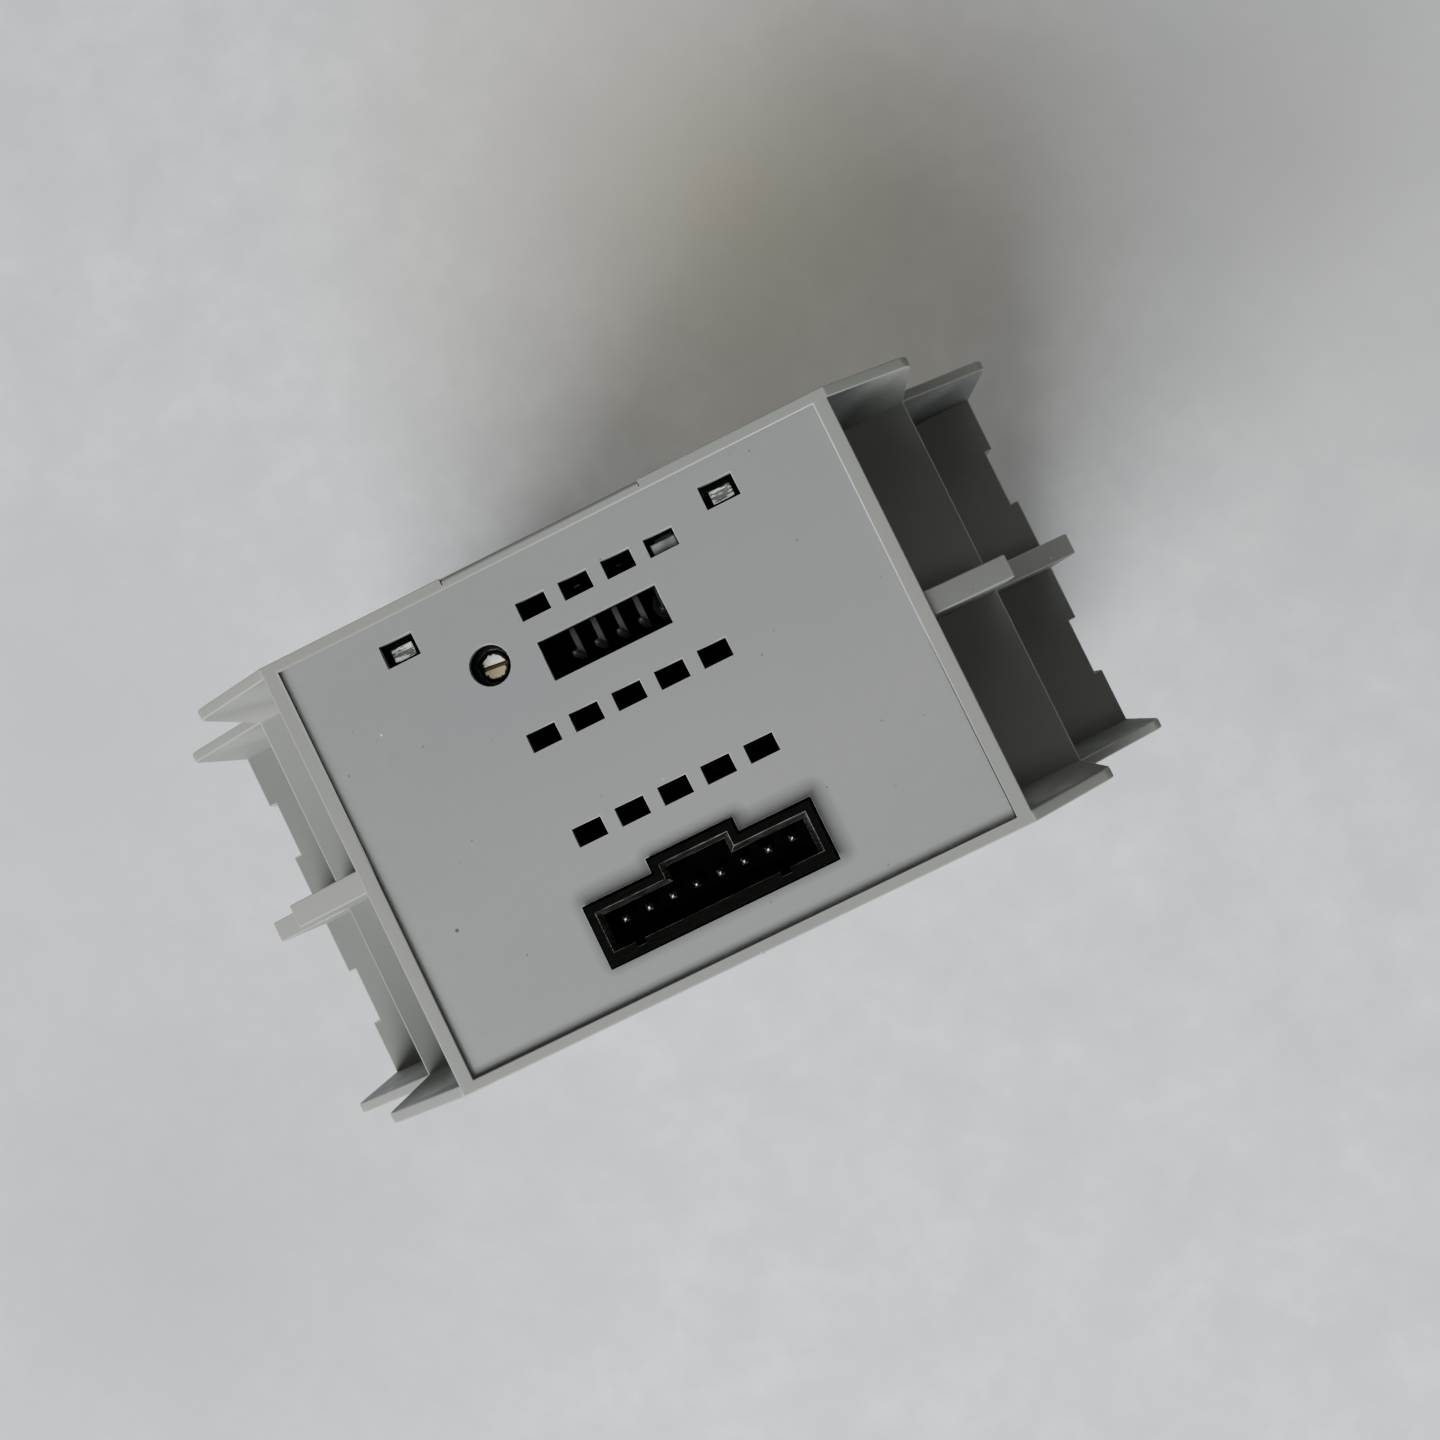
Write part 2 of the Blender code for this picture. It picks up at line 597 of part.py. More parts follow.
def build_boards():
    """Power board, control board and the link board that joins them at the bottom."""
    way = (PIN_WAY, PIN_WAY)
    screws = [circle(x, z, SCREW_HOLE, 16) for x, z in SPACER_PLACES]
    motor = [rectangle(motor_pin_x(i), MOTOR_TAIL_Z, way) for i in range(MOTOR_PINS)]
    service = [rectangle(service_pin_x(i), SERVICE_BEND, way) for i in range(SERVICE_PINS)]
    outline = board_outline()
    power = plate("power_board", outline, "Y", POWER_Y - BOARD, POWER_Y, motor + screws)
    control = plate("control_board", outline, "Y", CONTROL_Y, CONTROL_Y + BOARD, service + screws)
    link = box("link_board", (-LINK_HALF, POWER_Y + 1.0, LINK_Z),
               (LINK_HALF, CONTROL_Y - 1.0, LINK_Z + BOARD))
    for board in (power, control, link):
        finish(board, BOARD_GREEN)
    half, thick, height = SOCKET
    slot_half, wall, floor = SOCKET_SLOT
    low = LINK_Z + BOARD + GAP
    for name, near in (("link_socket_power", POWER_Y + GAP),
                       ("link_socket_control", CONTROL_Y - GAP - thick)):
        socket = box(name, (-half, near, low), (half, near + thick, low + height))
        slot = box("slot", (-slot_half, near + wall, low + floor),
                   (slot_half, near + thick - wall, low + height + 1))
        finish(cut(socket, [slot]), BLACK_PLASTIC)


def bent_pin(name, x, board_face, tail, y, bend_z, tip_z):
    """Square pin: out of the board along y, then up towards the front panel."""
    half = PIN / 2
    ends = sorted((tail, y + math.copysign(half, y - board_face)))
    pin = box(name, (x - half, ends[0], bend_z - half), (x + half, ends[1], bend_z + half))
    rise = box("rise", (x - half, y - half, bend_z - half / 2), (x + half, y + half, tip_z))
    return finish(union(pin, [rise]), TIN)


def build_motor_header():
    """Shrouded eight-way plug header with its key bump, coding slots and bent pins."""
    low = SHELL_TOP - SHELL_DEPTH
    floor = low + SHELL_FLOOR
    half = PIN_WAY / 2
    wide, deep = CODING
    wall_in = SHELL_Y[0] + SHELL_WALL
    shell = plate("motor_header_shell", shell_outline(0), "Z", low, SHELL_TOP)
    cutters = [plate("cavity", shell_outline(SHELL_WALL), "Z", floor, SHELL_TOP + 1)]
    for x in CODING_X:
        cutters.append(box("coding", (x - wide / 2, wall_in - deep, floor + 2),
                           (x + wide / 2, wall_in + 0.5, SHELL_TOP + 1)))
    for i in range(MOTOR_PINS):
        x = motor_pin_x(i)
        cutters.append(box("way", (x - half, MOTOR_PIN_Y - half, low - 1),
                           (x + half, MOTOR_PIN_Y + half, floor + 1)))
        bent_pin(f"motor_pin_{i + 1}", x, POWER_Y, POWER_Y - BOARD - PIN_TAILS[0], MOTOR_PIN_Y,
                 MOTOR_TAIL_Z, MOTOR_PIN_TOP)
    finish(cut(shell, cutters), BLACK_PLASTIC)


def build_service_header():
    """Five pins that leave a block on the control board and turn to the front."""
    middle = service_pin_x((SERVICE_PINS - 1) / 2)
    face = CONTROL_Y - GAP
    length, thick, height = SERVICE_BODY
    half = PIN_WAY / 2
    block = box("service_header_body", (middle - length / 2, face - thick, SERVICE_BEND - height / 2),
                (middle + length / 2, face, SERVICE_BEND + height / 2))
    ways = []
    for i in range(SERVICE_PINS):
        x = service_pin_x(i)
        ways.append(box("way", (x - half, face - thick - 1, SERVICE_BEND - half),
                        (x + half, face + 1, SERVICE_BEND + half)))
        bent_pin(f"service_pin_{i + 1}", x, CONTROL_Y, CONTROL_Y + BOARD + PIN_TAILS[1], SERVICE_PIN_Y,
                 SERVICE_BEND, SERVICE_TIP)
    finish(cut(block, ways), BLACK_PLASTIC)


def build_trimmer():
    """Trimmer on the control board: square case, slotted rotor facing the panel."""
    x, y = TRIMMER_AT
    top = PANEL_TOP - PANEL_THICK - GAP
    left, right, near, height = TRIMMER_CASE
    radius, rise = TRIMMER_COLLAR
    roof = top - rise
    case = box("trimmer_body", (x + left, y + near, roof - height), (x + right, CONTROL_Y - GAP, roof))
    collar = cylinder("collar", radius, (x, y, roof - 0.5), "Z", rise + 0.5)
    bore = cylinder("bore", TRIMMER_BORE, (x, y, top - ROTOR[1] - GAP), "Z", 5)
    finish(cut(union(case, [collar]), [bore]), TRIMMER_BLUE)
    rotor = cylinder("trimmer_rotor", ROTOR[0], (x, y, top - ROTOR[1]), "Z", ROTOR[1])
    wide, deep = ROTOR_SLOT
    slot = box("slot", (x - 2, y - wide / 2, top - deep), (x + 2, y + wide / 2, top + 1))
    finish(cut(rotor, [slot]), BRASS, smooth=True)


def build_lamps():
    """Two rectangular lamps behind their windows."""
    wide, deep, tall = LAMP
    brim, brim_high = LAMP_FLANGE
    top = PANEL_TOP - LAMP_DROP
    for name, side in (("status_led_left", -1), ("status_led_right", 1)):
        x, y = side * (LED_X + 0.15), LED_Y - 0.1
        lamp = box(name, (x - wide / 2, y - deep / 2, top - tall), (x + wide / 2, y + deep / 2, top))
        flange = box("flange", (x - wide / 2 - brim, y - deep / 2 - brim, top - tall - 0.5),
                     (x + wide / 2 + brim, y + deep / 2 - 0.05, top - tall + brim_high))
        finish(union(lamp, [flange]), CLEAR_PLASTIC)


def build_control_parts():
    """What else the control board carries."""
    face = CONTROL_Y - GAP
    left, right, low, high = CONTROLLER
    controller = box("microcontroller", (left, face - 3.8, low), (right, face - 0.5, high))
    legs = []
    for step in range(CONTROLLER_LEGS):
        z = low + 1.5 + 2.54 * step
        legs.append(box("leg", (left - 1.4, face - 2.0, z), (right + 1.4, face, z + 0.5)))
    finish(union(controller, legs), BLACK_PLASTIC)
    radius, length = CRYSTAL
    x, z = CRYSTAL_AT
    finish(cylinder("crystal", radius, (x, face - radius - 1, z), "Z", length, 16), TIN, smooth=True)
    finish(box("film_capacitor", *FILM), FILM_GREY)
    x, z = REGULATOR_AT
    wide, high, thick = REGULATOR
    tab_wide, tab_high, tab_thick = REGULATOR_TAB
    regulator = box("voltage_regulator", (x - wide / 2, face - thick - 0.2, z),
                    (x + wide / 2, face - 0.2, z + high))
    tab = box("tab", (x - tab_wide / 2, face - tab_thick, z + high - 0.5),
              (x + tab_wide / 2, face - 0.1, z + high + tab_high))
    hole = cylinder("hole", M3_HOLE, (x, face - thick, z + high + tab_high / 2), "Y", 8, 16)
    finish(cut(union(regulator, [tab]), [hole]), BLACK_PLASTIC)


def build_heat_sink():
    """Finned extrusion that both driver chips are screwed to."""
    face = SINK_BACK + SINK_PLATE
    pitch = (2 * SINK_HALF - FIN) / (SINK_FINS - 1)
    outline = [(-SINK_HALF, SINK_BACK), (SINK_HALF, SINK_BACK)]
    for step in reversed(range(SINK_FINS)):
        left = -SINK_HALF + step * pitch
        outline += [(left + FIN, face + FIN_REACH), (left, face + FIN_REACH)]
        if step:
            outline += [(left, face), (left - pitch + FIN, face)]
    sink = plate("heat_sink", outline, "Z", *SINK_Z)
    holes = [cylinder("hole", M3_HOLE, (x, SINK_BACK - 1, DRIVER_HOLE_Z), "Y", SINK_PLATE + 2, 16)
             for x in (DRIVER_X, -DRIVER_X)]
    finish(cut(sink, holes), ALUMINIUM)


def build_drivers():
    """Driver chips between the power board and the heat sink, and their screws."""
    back = SINK_BACK - GAP
    body, tab_thick = DRIVER_THICK
    foot, shoulder, crown = DRIVER_Z
    wide, thick, long = LEG
    for name, side in (("left", -1), ("right", 1)):
        x = side * DRIVER_X
        chip = box("driver_ic_" + name, (x - DRIVER_HALF, back - body, foot),
                   (x + DRIVER_HALF, back - 0.4, shoulder))
        pieces = [box("tab", (x - DRIVER_HALF + 0.2, back - tab_thick, shoulder - 0.5),
                      (x + DRIVER_HALF - 0.2, back, crown))]
        for step in range(DRIVER_LEGS):
            leg_x = x + (step - (DRIVER_LEGS - 1) / 2) * LEG_PITCH
            pieces.append(box("leg", (leg_x - wide / 2, back - 2.6, foot - long),
                              (leg_x + wide / 2, back - 2.6 + thick, foot + 0.5)))
        hole = cylinder("hole", M3_HOLE, (x, back - 4, DRIVER_HOLE_Z), "Y", 6, 16)
        finish(cut(union(chip, pieces), [hole]), BLACK_PLASTIC)
        under = back - tab_thick - GAP
        head = cylinder("driver_screw_" + name, 2.9, (x, under - 2.0, DRIVER_HOLE_Z), "Y", 2.0, 20)
        shank = cylinder("shank", 1.5, (x, under - 0.5, DRIVER_HOLE_Z), "Y", 5.4, 12)
        finish(union(head, [shank]), STEEL, smooth=True)


def build_power_parts():
    """Reservoir capacitors and current-sense resistors on the power board."""
    face = POWER_Y + GAP
    for i, (x, z) in enumerate(CAN_PLACES):
        can = cylinder(f"bulk_capacitor_{i + 1}", CAN[0], (x, face, z), "Y", CAN[1], 28)
        finish(can, SLEEVE, smooth=True)
    length, thick = RESISTOR
    for i, (x, z) in enumerate(RESISTOR_PLACES):
        low = (x - length / 2, face, z - thick / 2)
        high = (x + length / 2, face + thick, z + thick / 2)
        finish(box(f"sense_resistor_{i + 1}", low, high), CERAMIC)


def board_screw(number, x, z, head_low, head_thick, shank_low):
    """Low-headed screw through a board into the end of a spacer."""
    head = cylinder(f"spacer_screw_{number}", SCREW_HEAD, (x, head_low, z), "Y", head_thick, 20)
    shank = cylinder("shank", SCREW_SHANK, (x, shank_low, z), "Y", SPACER_BORE[1], 12)
    finish(union(head, [shank]), STEEL, smooth=True)


def build_spacers():
    """Two hexagonal spacers that hold the boards apart, with a screw at each end."""
    low, high = POWER_Y + GAP, CONTROL_Y - GAP
    bore, depth = SPACER_BORE
    for i, (x, z) in enumerate(SPACER_PLACES):
        spacer = cylinder(f"board_spacer_{i + 1}", SPACER_RADIUS, (x, low, z), "Y", high - low, 6)
        holes = [cylinder("hole", bore, (x, low - 1, z), "Y", depth + 1, 12),
                 cylinder("hole", bore, (x, high - depth, z), "Y", depth + 1, 12)]
        finish(cut(spacer, holes), BRASS)
        outer = POWER_Y - BOARD - GAP
        board_screw(2 * i + 1, x, z, outer - 1.0, 1.0, outer - 0.5)
        outer = CONTROL_Y + BOARD + 0.05
        board_screw(2 * i + 2, x, z, outer, 0.45, outer - SPACER_BORE[1] + 0.3)


build_upper_housing()
build_base_housing()
build_front_panel()
build_rail_latch()
build_latch_spring()
build_boards()
build_motor_header()
build_service_header()
build_trimmer()
build_lamps()
build_control_parts()
build_heat_sink()
build_drivers()
build_power_parts()
build_spacers()
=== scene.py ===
"""Looks of the stepper driver module: a stepped grey rail housing with its front facing up.

Sizes are in millimetres in the module's own frame, and the helpers turn them into metres:
X runs along the long side, Y across the narrow one, and Z out of the front panel.
"""
import math

import bmesh
import bpy
from mathutils import Matrix, Vector, noise


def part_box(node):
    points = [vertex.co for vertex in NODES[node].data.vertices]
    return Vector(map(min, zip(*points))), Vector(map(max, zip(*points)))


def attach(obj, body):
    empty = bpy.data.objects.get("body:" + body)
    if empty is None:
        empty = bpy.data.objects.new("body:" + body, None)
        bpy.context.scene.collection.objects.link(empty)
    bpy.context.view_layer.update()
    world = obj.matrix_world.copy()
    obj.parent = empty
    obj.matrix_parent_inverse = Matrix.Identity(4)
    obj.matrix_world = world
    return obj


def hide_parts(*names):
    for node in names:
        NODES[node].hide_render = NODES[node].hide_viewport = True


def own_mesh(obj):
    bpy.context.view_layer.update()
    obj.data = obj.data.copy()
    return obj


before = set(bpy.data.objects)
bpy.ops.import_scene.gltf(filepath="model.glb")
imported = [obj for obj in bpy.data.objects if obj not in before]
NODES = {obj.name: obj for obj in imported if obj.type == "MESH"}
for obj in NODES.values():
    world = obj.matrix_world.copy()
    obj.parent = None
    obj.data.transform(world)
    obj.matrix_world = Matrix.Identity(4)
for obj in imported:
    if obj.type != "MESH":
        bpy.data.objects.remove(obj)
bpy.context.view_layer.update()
MM = 0.001
WELD = 1e-7                             # corners this near, in metres, are one
CAD_WELD = 1e-6                         # the same for CAD meshes
FLAT = math.radians(0.5)                # faces that bend by less are one
CLEAR = 1.0                             # how far a cut starts outside the surface


def low_high(node):
    """The corners of a CAD node in millimetres."""
    low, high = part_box(node)
    return low / MM, high / MM


HOOD_HIGH = low_high("upper_housing")[1]
PANEL_LOW, PANEL_HIGH = low_high("front_panel")
RIM = HOOD_HIGH.z                       # front rim of the hood

# camera
CAMERA_AT = (14.6, -5.0, RIM + 139.7)
CAMERA_TILT = (0.13, 3.27)              # about X and Y, from straight down
CAMERA_ROLL = -26.13
CAMERA_LENS = 37.5
CAMERA_NEAR = 10.0

# softboxes: name, heading from +X towards +Y and height in degrees, size, power and colour
LIGHTS = (("key", 229.0, 36.0, 600.0, 18.8, (1.0, 0.99, 0.975)),
          ("fill", 80.0, 50.0, 700.0, 1.6, (1.0, 0.97, 0.9)),
          ("ceiling", 300.0, 83.5, 160.0, 1.1, (1.0, 1.0, 0.96)))
LIGHT_DISTANCE = 900.0
SKY = 0.08
SKY_COLOUR = (1.0, 0.98, 0.88)

# floor, with slow patches: place, radius and colour; the one towards +X darkens the module's shadow
# and the one towards +Y warms it, both painted shadow, and the two towards -X are darker patches
FLOOR_HALF = 900.0
FLOOR_PATCHES = ((-125.0, -40.0, 95.0, (0.44, 0.465, 0.50)),
                (-100.0, 50.0, 60.0, (0.54, 0.57, 0.60)),
                (130.0, 45.0, 110.0, (0.44, 0.45, 0.46)),
                (40.0, 85.0, 80.0, (0.68, 0.65, 0.57)))

# edges
SHARP = math.radians(27)                # corners that get rounded
EDGE_STEPS = 2
HOUSING_EDGE = 0.16
PANEL_EDGE = 0.07

# panel
FACE_THICK = 0.9                        # grey part of the panel
PANEL_GROWTH = (0.31, 0.27)             # lets the face into its frame along X and Y
PANEL_MARGIN = 0.01                     # from its CAD edge to corners that count as on it
PANEL_BEYOND = 40.0                     # further out than any part of it
PANEL_MARKS = ((-23.6, -8.1, 0.24, (0.05, 0.045, 0.035)), (-22.0, 11.7, 0.12, (0.62, 0.62, 0.6)))
# painted shadow round the plug header and along the near rim: middle, half size, reach and depth
PANEL_SHADOWS = (((0.5, -14.05), (11.75, 3.0), 1.7, 0.85), ((0.4, -12.9), (4.45, 3.0), 1.5, 0.75),
               ((0.0, -21.4), (28.5, 0.1), 0.95, 0.85))

# hood details
LEVEL = 0.99                            # share of Z in the normal of a face that looks up
BAY_DEPTH = 8.0                         # below the rim, where the bay floors with painted shade begin
TONGUE_HALF = 10.4
TONGUE_CUT = (0.12, 0.7, 8.0)           # width, depth and height
# crumbs on the near rim: place, as distances from the near side and below the rim, and size
GATE_MARKS = ((1.65, 0.25, 0.12, 0.3), (2.6, 0.2, 0.12, 0.18), (29.2, 0.4, 0.12, 0.28),
              (28.3, 0.3, 0.14, 0.2))
GATE_RIPPLE = (0.25, 0.5)               # length, and depth as a share of the crumb's size
GATE_FLATNESS = 0.45
# shoulders of the film capacitor in the last vent of the far row:
# near corner, far corner, depth below the panel's face and height
LUGS = (((8.78, 15.4), (11.34, 16.5), 0.6, 5.0), ((9.25, 16.52), (11.15, 17.0), 1.5, 4.0))
LUG_CHAMFER = 0.12
LUG_EDGE = 0.04

# motor header
SHELL_HALF = 11.75
SHELL_Y = (-17.6, -11.5)
SHELL_KEY = (4.35, -10.0)
SHELL_WALL = 1.3
SHELL_TOP = RIM - 0.1
SHELL_DEPTH = 12.0
SHELL_FLOOR = 3.0
SHELL_LEAD = (0.5, 0.55)                # width and depth of the mouth's lead-in chamfer
SHELL_NEAR_LEAD = 0.06                  # its width on the near side
SHELL_EDGE = 0.04
SHELL_SLOPE = (0.2, 0.95)               # share of Z in the lead-in's normals
SHELL_OUTSIDE = 0.3                     # outer strip whose edges stay plain black, without the painted highlight
CODING_X = (-8.2, 6.9)                  # middles of the coding grooves
CODING = (1.0, 0.5)                     # their width and depth

# lamps
LENS = (2.2, 1.3, 0.6, 0.12)            # length, width, thickness, height over the frame
LENS_CHAMFER = 0.1
LENS_EDGE = 0.02
LENS_SHIFT = 0.1                        # of the lens towards the far side
LAMP_HALF = 0.8                         # from the lamp's far side to its middle line
LAMP_EDGE = 0.12
LENS_GROOVES = (-0.27, -0.05, 0.13, 0.31)   # places across the lens, as shares of its width
GROOVE = (0.035, 0.09)                  # half width and depth
GROOVE_START = -0.42                    # ends, as shares of the lens's length
GROOVE_ENDS = (0.44, 0.39)
GROOVE_TURN = (2.0, -1.5)               # first heading and the change from groove to groove

# trimmer
ROTOR_SLOT = (0.4, 0.75, -6.0)          # width, depth and heading
ROTOR_BEYOND = 2.0                      # further out than the screw's rim
ROTOR_KNURL = (26, 0.06)                # teeth round the screw and their depth
ROTOR_RIM = 0.2                         # strip that the teeth reach into
ROTOR_CHAMFER = 0.1
ROTOR_EDGE = 0.05
ROTOR_BORDER = 0.17                     # strip of painted shadow of the teeth on its face
TRIMMER_RING = (1.6, 1.65, 0.0, 1.5)    # inner and outer radius, height over the case, depth
TRIMMER_RING_EDGE = 0.03

# pins
PIN = 0.64
PIN_TIP = (0.2, 0.75)                   # width and length of the pointed ends
PIN_BRIGHT = 0.6                        # share of the point that stays bright in the header
PIN_EDGE = 0.05

# latch spring
SPRING_WIRE = 0.5
SPRING_TURNS = 6
SPRING_STEPS = 24                       # in one turn
SPRING_CLOSED = (0.25, 0.02)            # share of each half with closer coils, and how much closer


# ---------------------------------------------------------------- shapes

def point(x, y, z):
    return Vector((x, y, z)) * MM


def linked(name, mesh):
    made = bpy.data.objects.new(name, mesh)
    bpy.context.scene.collection.objects.link(made)
    return made


def from_bmesh(name, work):
    mesh = bpy.data.meshes.new(name)
    bmesh.ops.recalc_face_normals(work, faces=work.faces)
    work.to_mesh(mesh)
    work.free()
    return linked(name, mesh)


def edges(piece, width, edge_look=None):
    """Round a piece's outward edges; the rounding can have a look of its own."""
    mesh = piece.data
    mesh.materials.append(edge_look or mesh.materials[0])
    work = bmesh.new()
    work.from_mesh(mesh)
    turned_edges = [edge for edge in work.edges if edge.calc_face_angle(0) > SHARP]
    outward = [edge for edge in turned_edges if edge.is_convex]
    for edge in set(turned_edges) - set(outward):
        edge.smooth = False
    made = bmesh.ops.bevel(work, geom=outward, offset=width * MM, segments=EDGE_STEPS,
                           profile=0.5, affect="EDGES", clamp_overlap=False)
    for face in made["faces"]:
        face.material_index = len(mesh.materials) - 1
    for face in work.faces:
        face.smooth = True
    work.to_mesh(mesh)
    work.free()
    return shaded_flat(piece)


def coated(piece, look):
    """Give a piece one look, whatever it wore before."""
    piece.data.materials.clear()
    piece.data.materials.append(look)


def shaded_flat(piece):
    """Let the large faces rule the smooth shading."""
    step = piece.modifiers.new("normals", "WEIGHTED_NORMAL")
    step.weight = 100
    step.keep_sharp = True
    return piece


def applied(piece):
    """Turn a piece's modifiers, or a curve, into plain mesh."""
    bpy.context.view_layer.update()
    shape = piece.evaluated_get(bpy.context.evaluated_depsgraph_get())
    mesh = bpy.data.meshes.new_from_object(shape)
    name = piece.name
    if piece.type == "MESH":
        piece.modifiers.clear()
        piece.data = mesh
        return piece
    bpy.data.objects.remove(piece, do_unlink=True)
    return linked(name, mesh)


def combined(piece, other, operation):
    """Cut another shape out of a piece, or keep only what lies inside it."""
    step = piece.modifiers.new("combined", "BOOLEAN")
    step.operation = operation
    step.solver = "EXACT"
    step.object = other
    applied(piece)
    bpy.data.objects.remove(other, do_unlink=True)
    return piece


def copied(name, node, look):
    """A new piece with a CAD node's shape, its flat faces made whole."""
    work = bmesh.new()
    work.from_mesh(NODES[node].data)
    bmesh.ops.remove_doubles(work, verts=work.verts, dist=CAD_WELD)
    bmesh.ops.dissolve_limit(work, angle_limit=FLAT, verts=work.verts, edges=work.edges)
    piece = from_bmesh(name, work)
    coated(piece, look)
    return piece


def block(name, low, high):
    work = bmesh.new()
    bmesh.ops.create_cube(work, size=1.0)
    low, high = point(*low), point(*high)
    bmesh.ops.scale(work, vec=high - low, verts=work.verts)
    bmesh.ops.translate(work, vec=(low + high) / 2, verts=work.verts)
    return from_bmesh(name, work)


def lofted(name, rings):
    """A closed skin through rings of points, in millimetres, with both ends capped."""
    work = bmesh.new()
    made = [[work.verts.new(point(*spot)) for spot in ring] for ring in rings]
    for before, after in zip(made, made[1:]):
        for step in range(len(before)):
            nxt = (step + 1) % len(before)
            work.faces.new((before[step], before[nxt], after[nxt], after[step]))
    work.faces.new(reversed(made[0]))
    work.faces.new(made[-1])
    bmesh.ops.remove_doubles(work, verts=work.verts, dist=WELD)
    return from_bmesh(name, work)


def plinth(name, low, high, levels):
    """A block over the rectangle from low to high, through (inset, height) levels."""
    rings = []
    for inset, z in levels:
        left, right = low[0] + inset, high[0] - inset
        near, far = low[1] + inset, high[1] - inset
        rings.append([(left, near, z), (right, near, z), (right, far, z), (left, far, z)])
    return lofted(name, rings)


def turned(name, profile, centre, sides=64):
    """A ring or a disc turned from (radius, height) points about a vertical axis."""
    work = bmesh.new()
    columns = []
    for step in range(sides):
        turn = 2 * math.pi * step / sides
        columns.append([work.verts.new(point(centre[0] + radius * math.cos(turn),
                                             centre[1] + radius * math.sin(turn), height))
                        for radius, height in profile])
    for step in range(sides):
        here, there = columns[step], columns[(step + 1) % sides]
        for row in range(len(profile)):
            nxt = (row + 1) % len(profile)
            if profile[row][0] == profile[nxt][0] == 0:
                continue
            work.faces.new((here[row], there[row], there[nxt], here[nxt]))
    bmesh.ops.remove_doubles(work, verts=work.verts, dist=WELD)
    return from_bmesh(name, work)


def pin(name, x, spots, look):
    """A square wire through (y, z) points at one x, with both ends pointed."""
    spots = [Vector(spot) for spot in spots]
    tip_half, tip_length = PIN_TIP[0] / 2, PIN_TIP[1]
    inner = [spots[0] + (spots[1] - spots[0]).normalized() * tip_length]
    outer = [spots[-1] + (spots[-2] - spots[-1]).normalized() * tip_length]
    line = [spots[0]] + inner + spots[1:-1] + outer + [spots[-1]]
    halves = [tip_half] + [PIN / 2] * (len(line) - 2) + [tip_half]
    rings = []
    for index, (spot, half) in enumerate(zip(line, halves)):
        before = (spot - line[index - 1]).normalized() if index else None
        after = (line[index + 1] - spot).normalized() if index < len(line) - 1 else None
        ahead = ((before or after) + (after or before)).normalized()
        side = Vector((-ahead.y, ahead.x))
        straight = after or before
        # at a bend the wire's corners lie further out, along the mitre
        reach = half / abs(Vector((-straight.y, straight.x)).dot(side))
        near, far = spot - side * reach, spot + side * reach
        rings.append([(x - half, near.x, near.y), (x + half, near.x, near.y),
                      (x + half, far.x, far.y), (x - half, far.x, far.y)])
    piece = lofted(name, rings)
    coated(piece, look)
    return edges(piece, PIN_EDGE)


def wear(piece, body, node):
    """Put a finished piece on its body, in place of its CAD node if it has one."""
    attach(piece, body)
    if node:
        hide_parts(node)
    return piece


# ---------------------------------------------------------------- materials

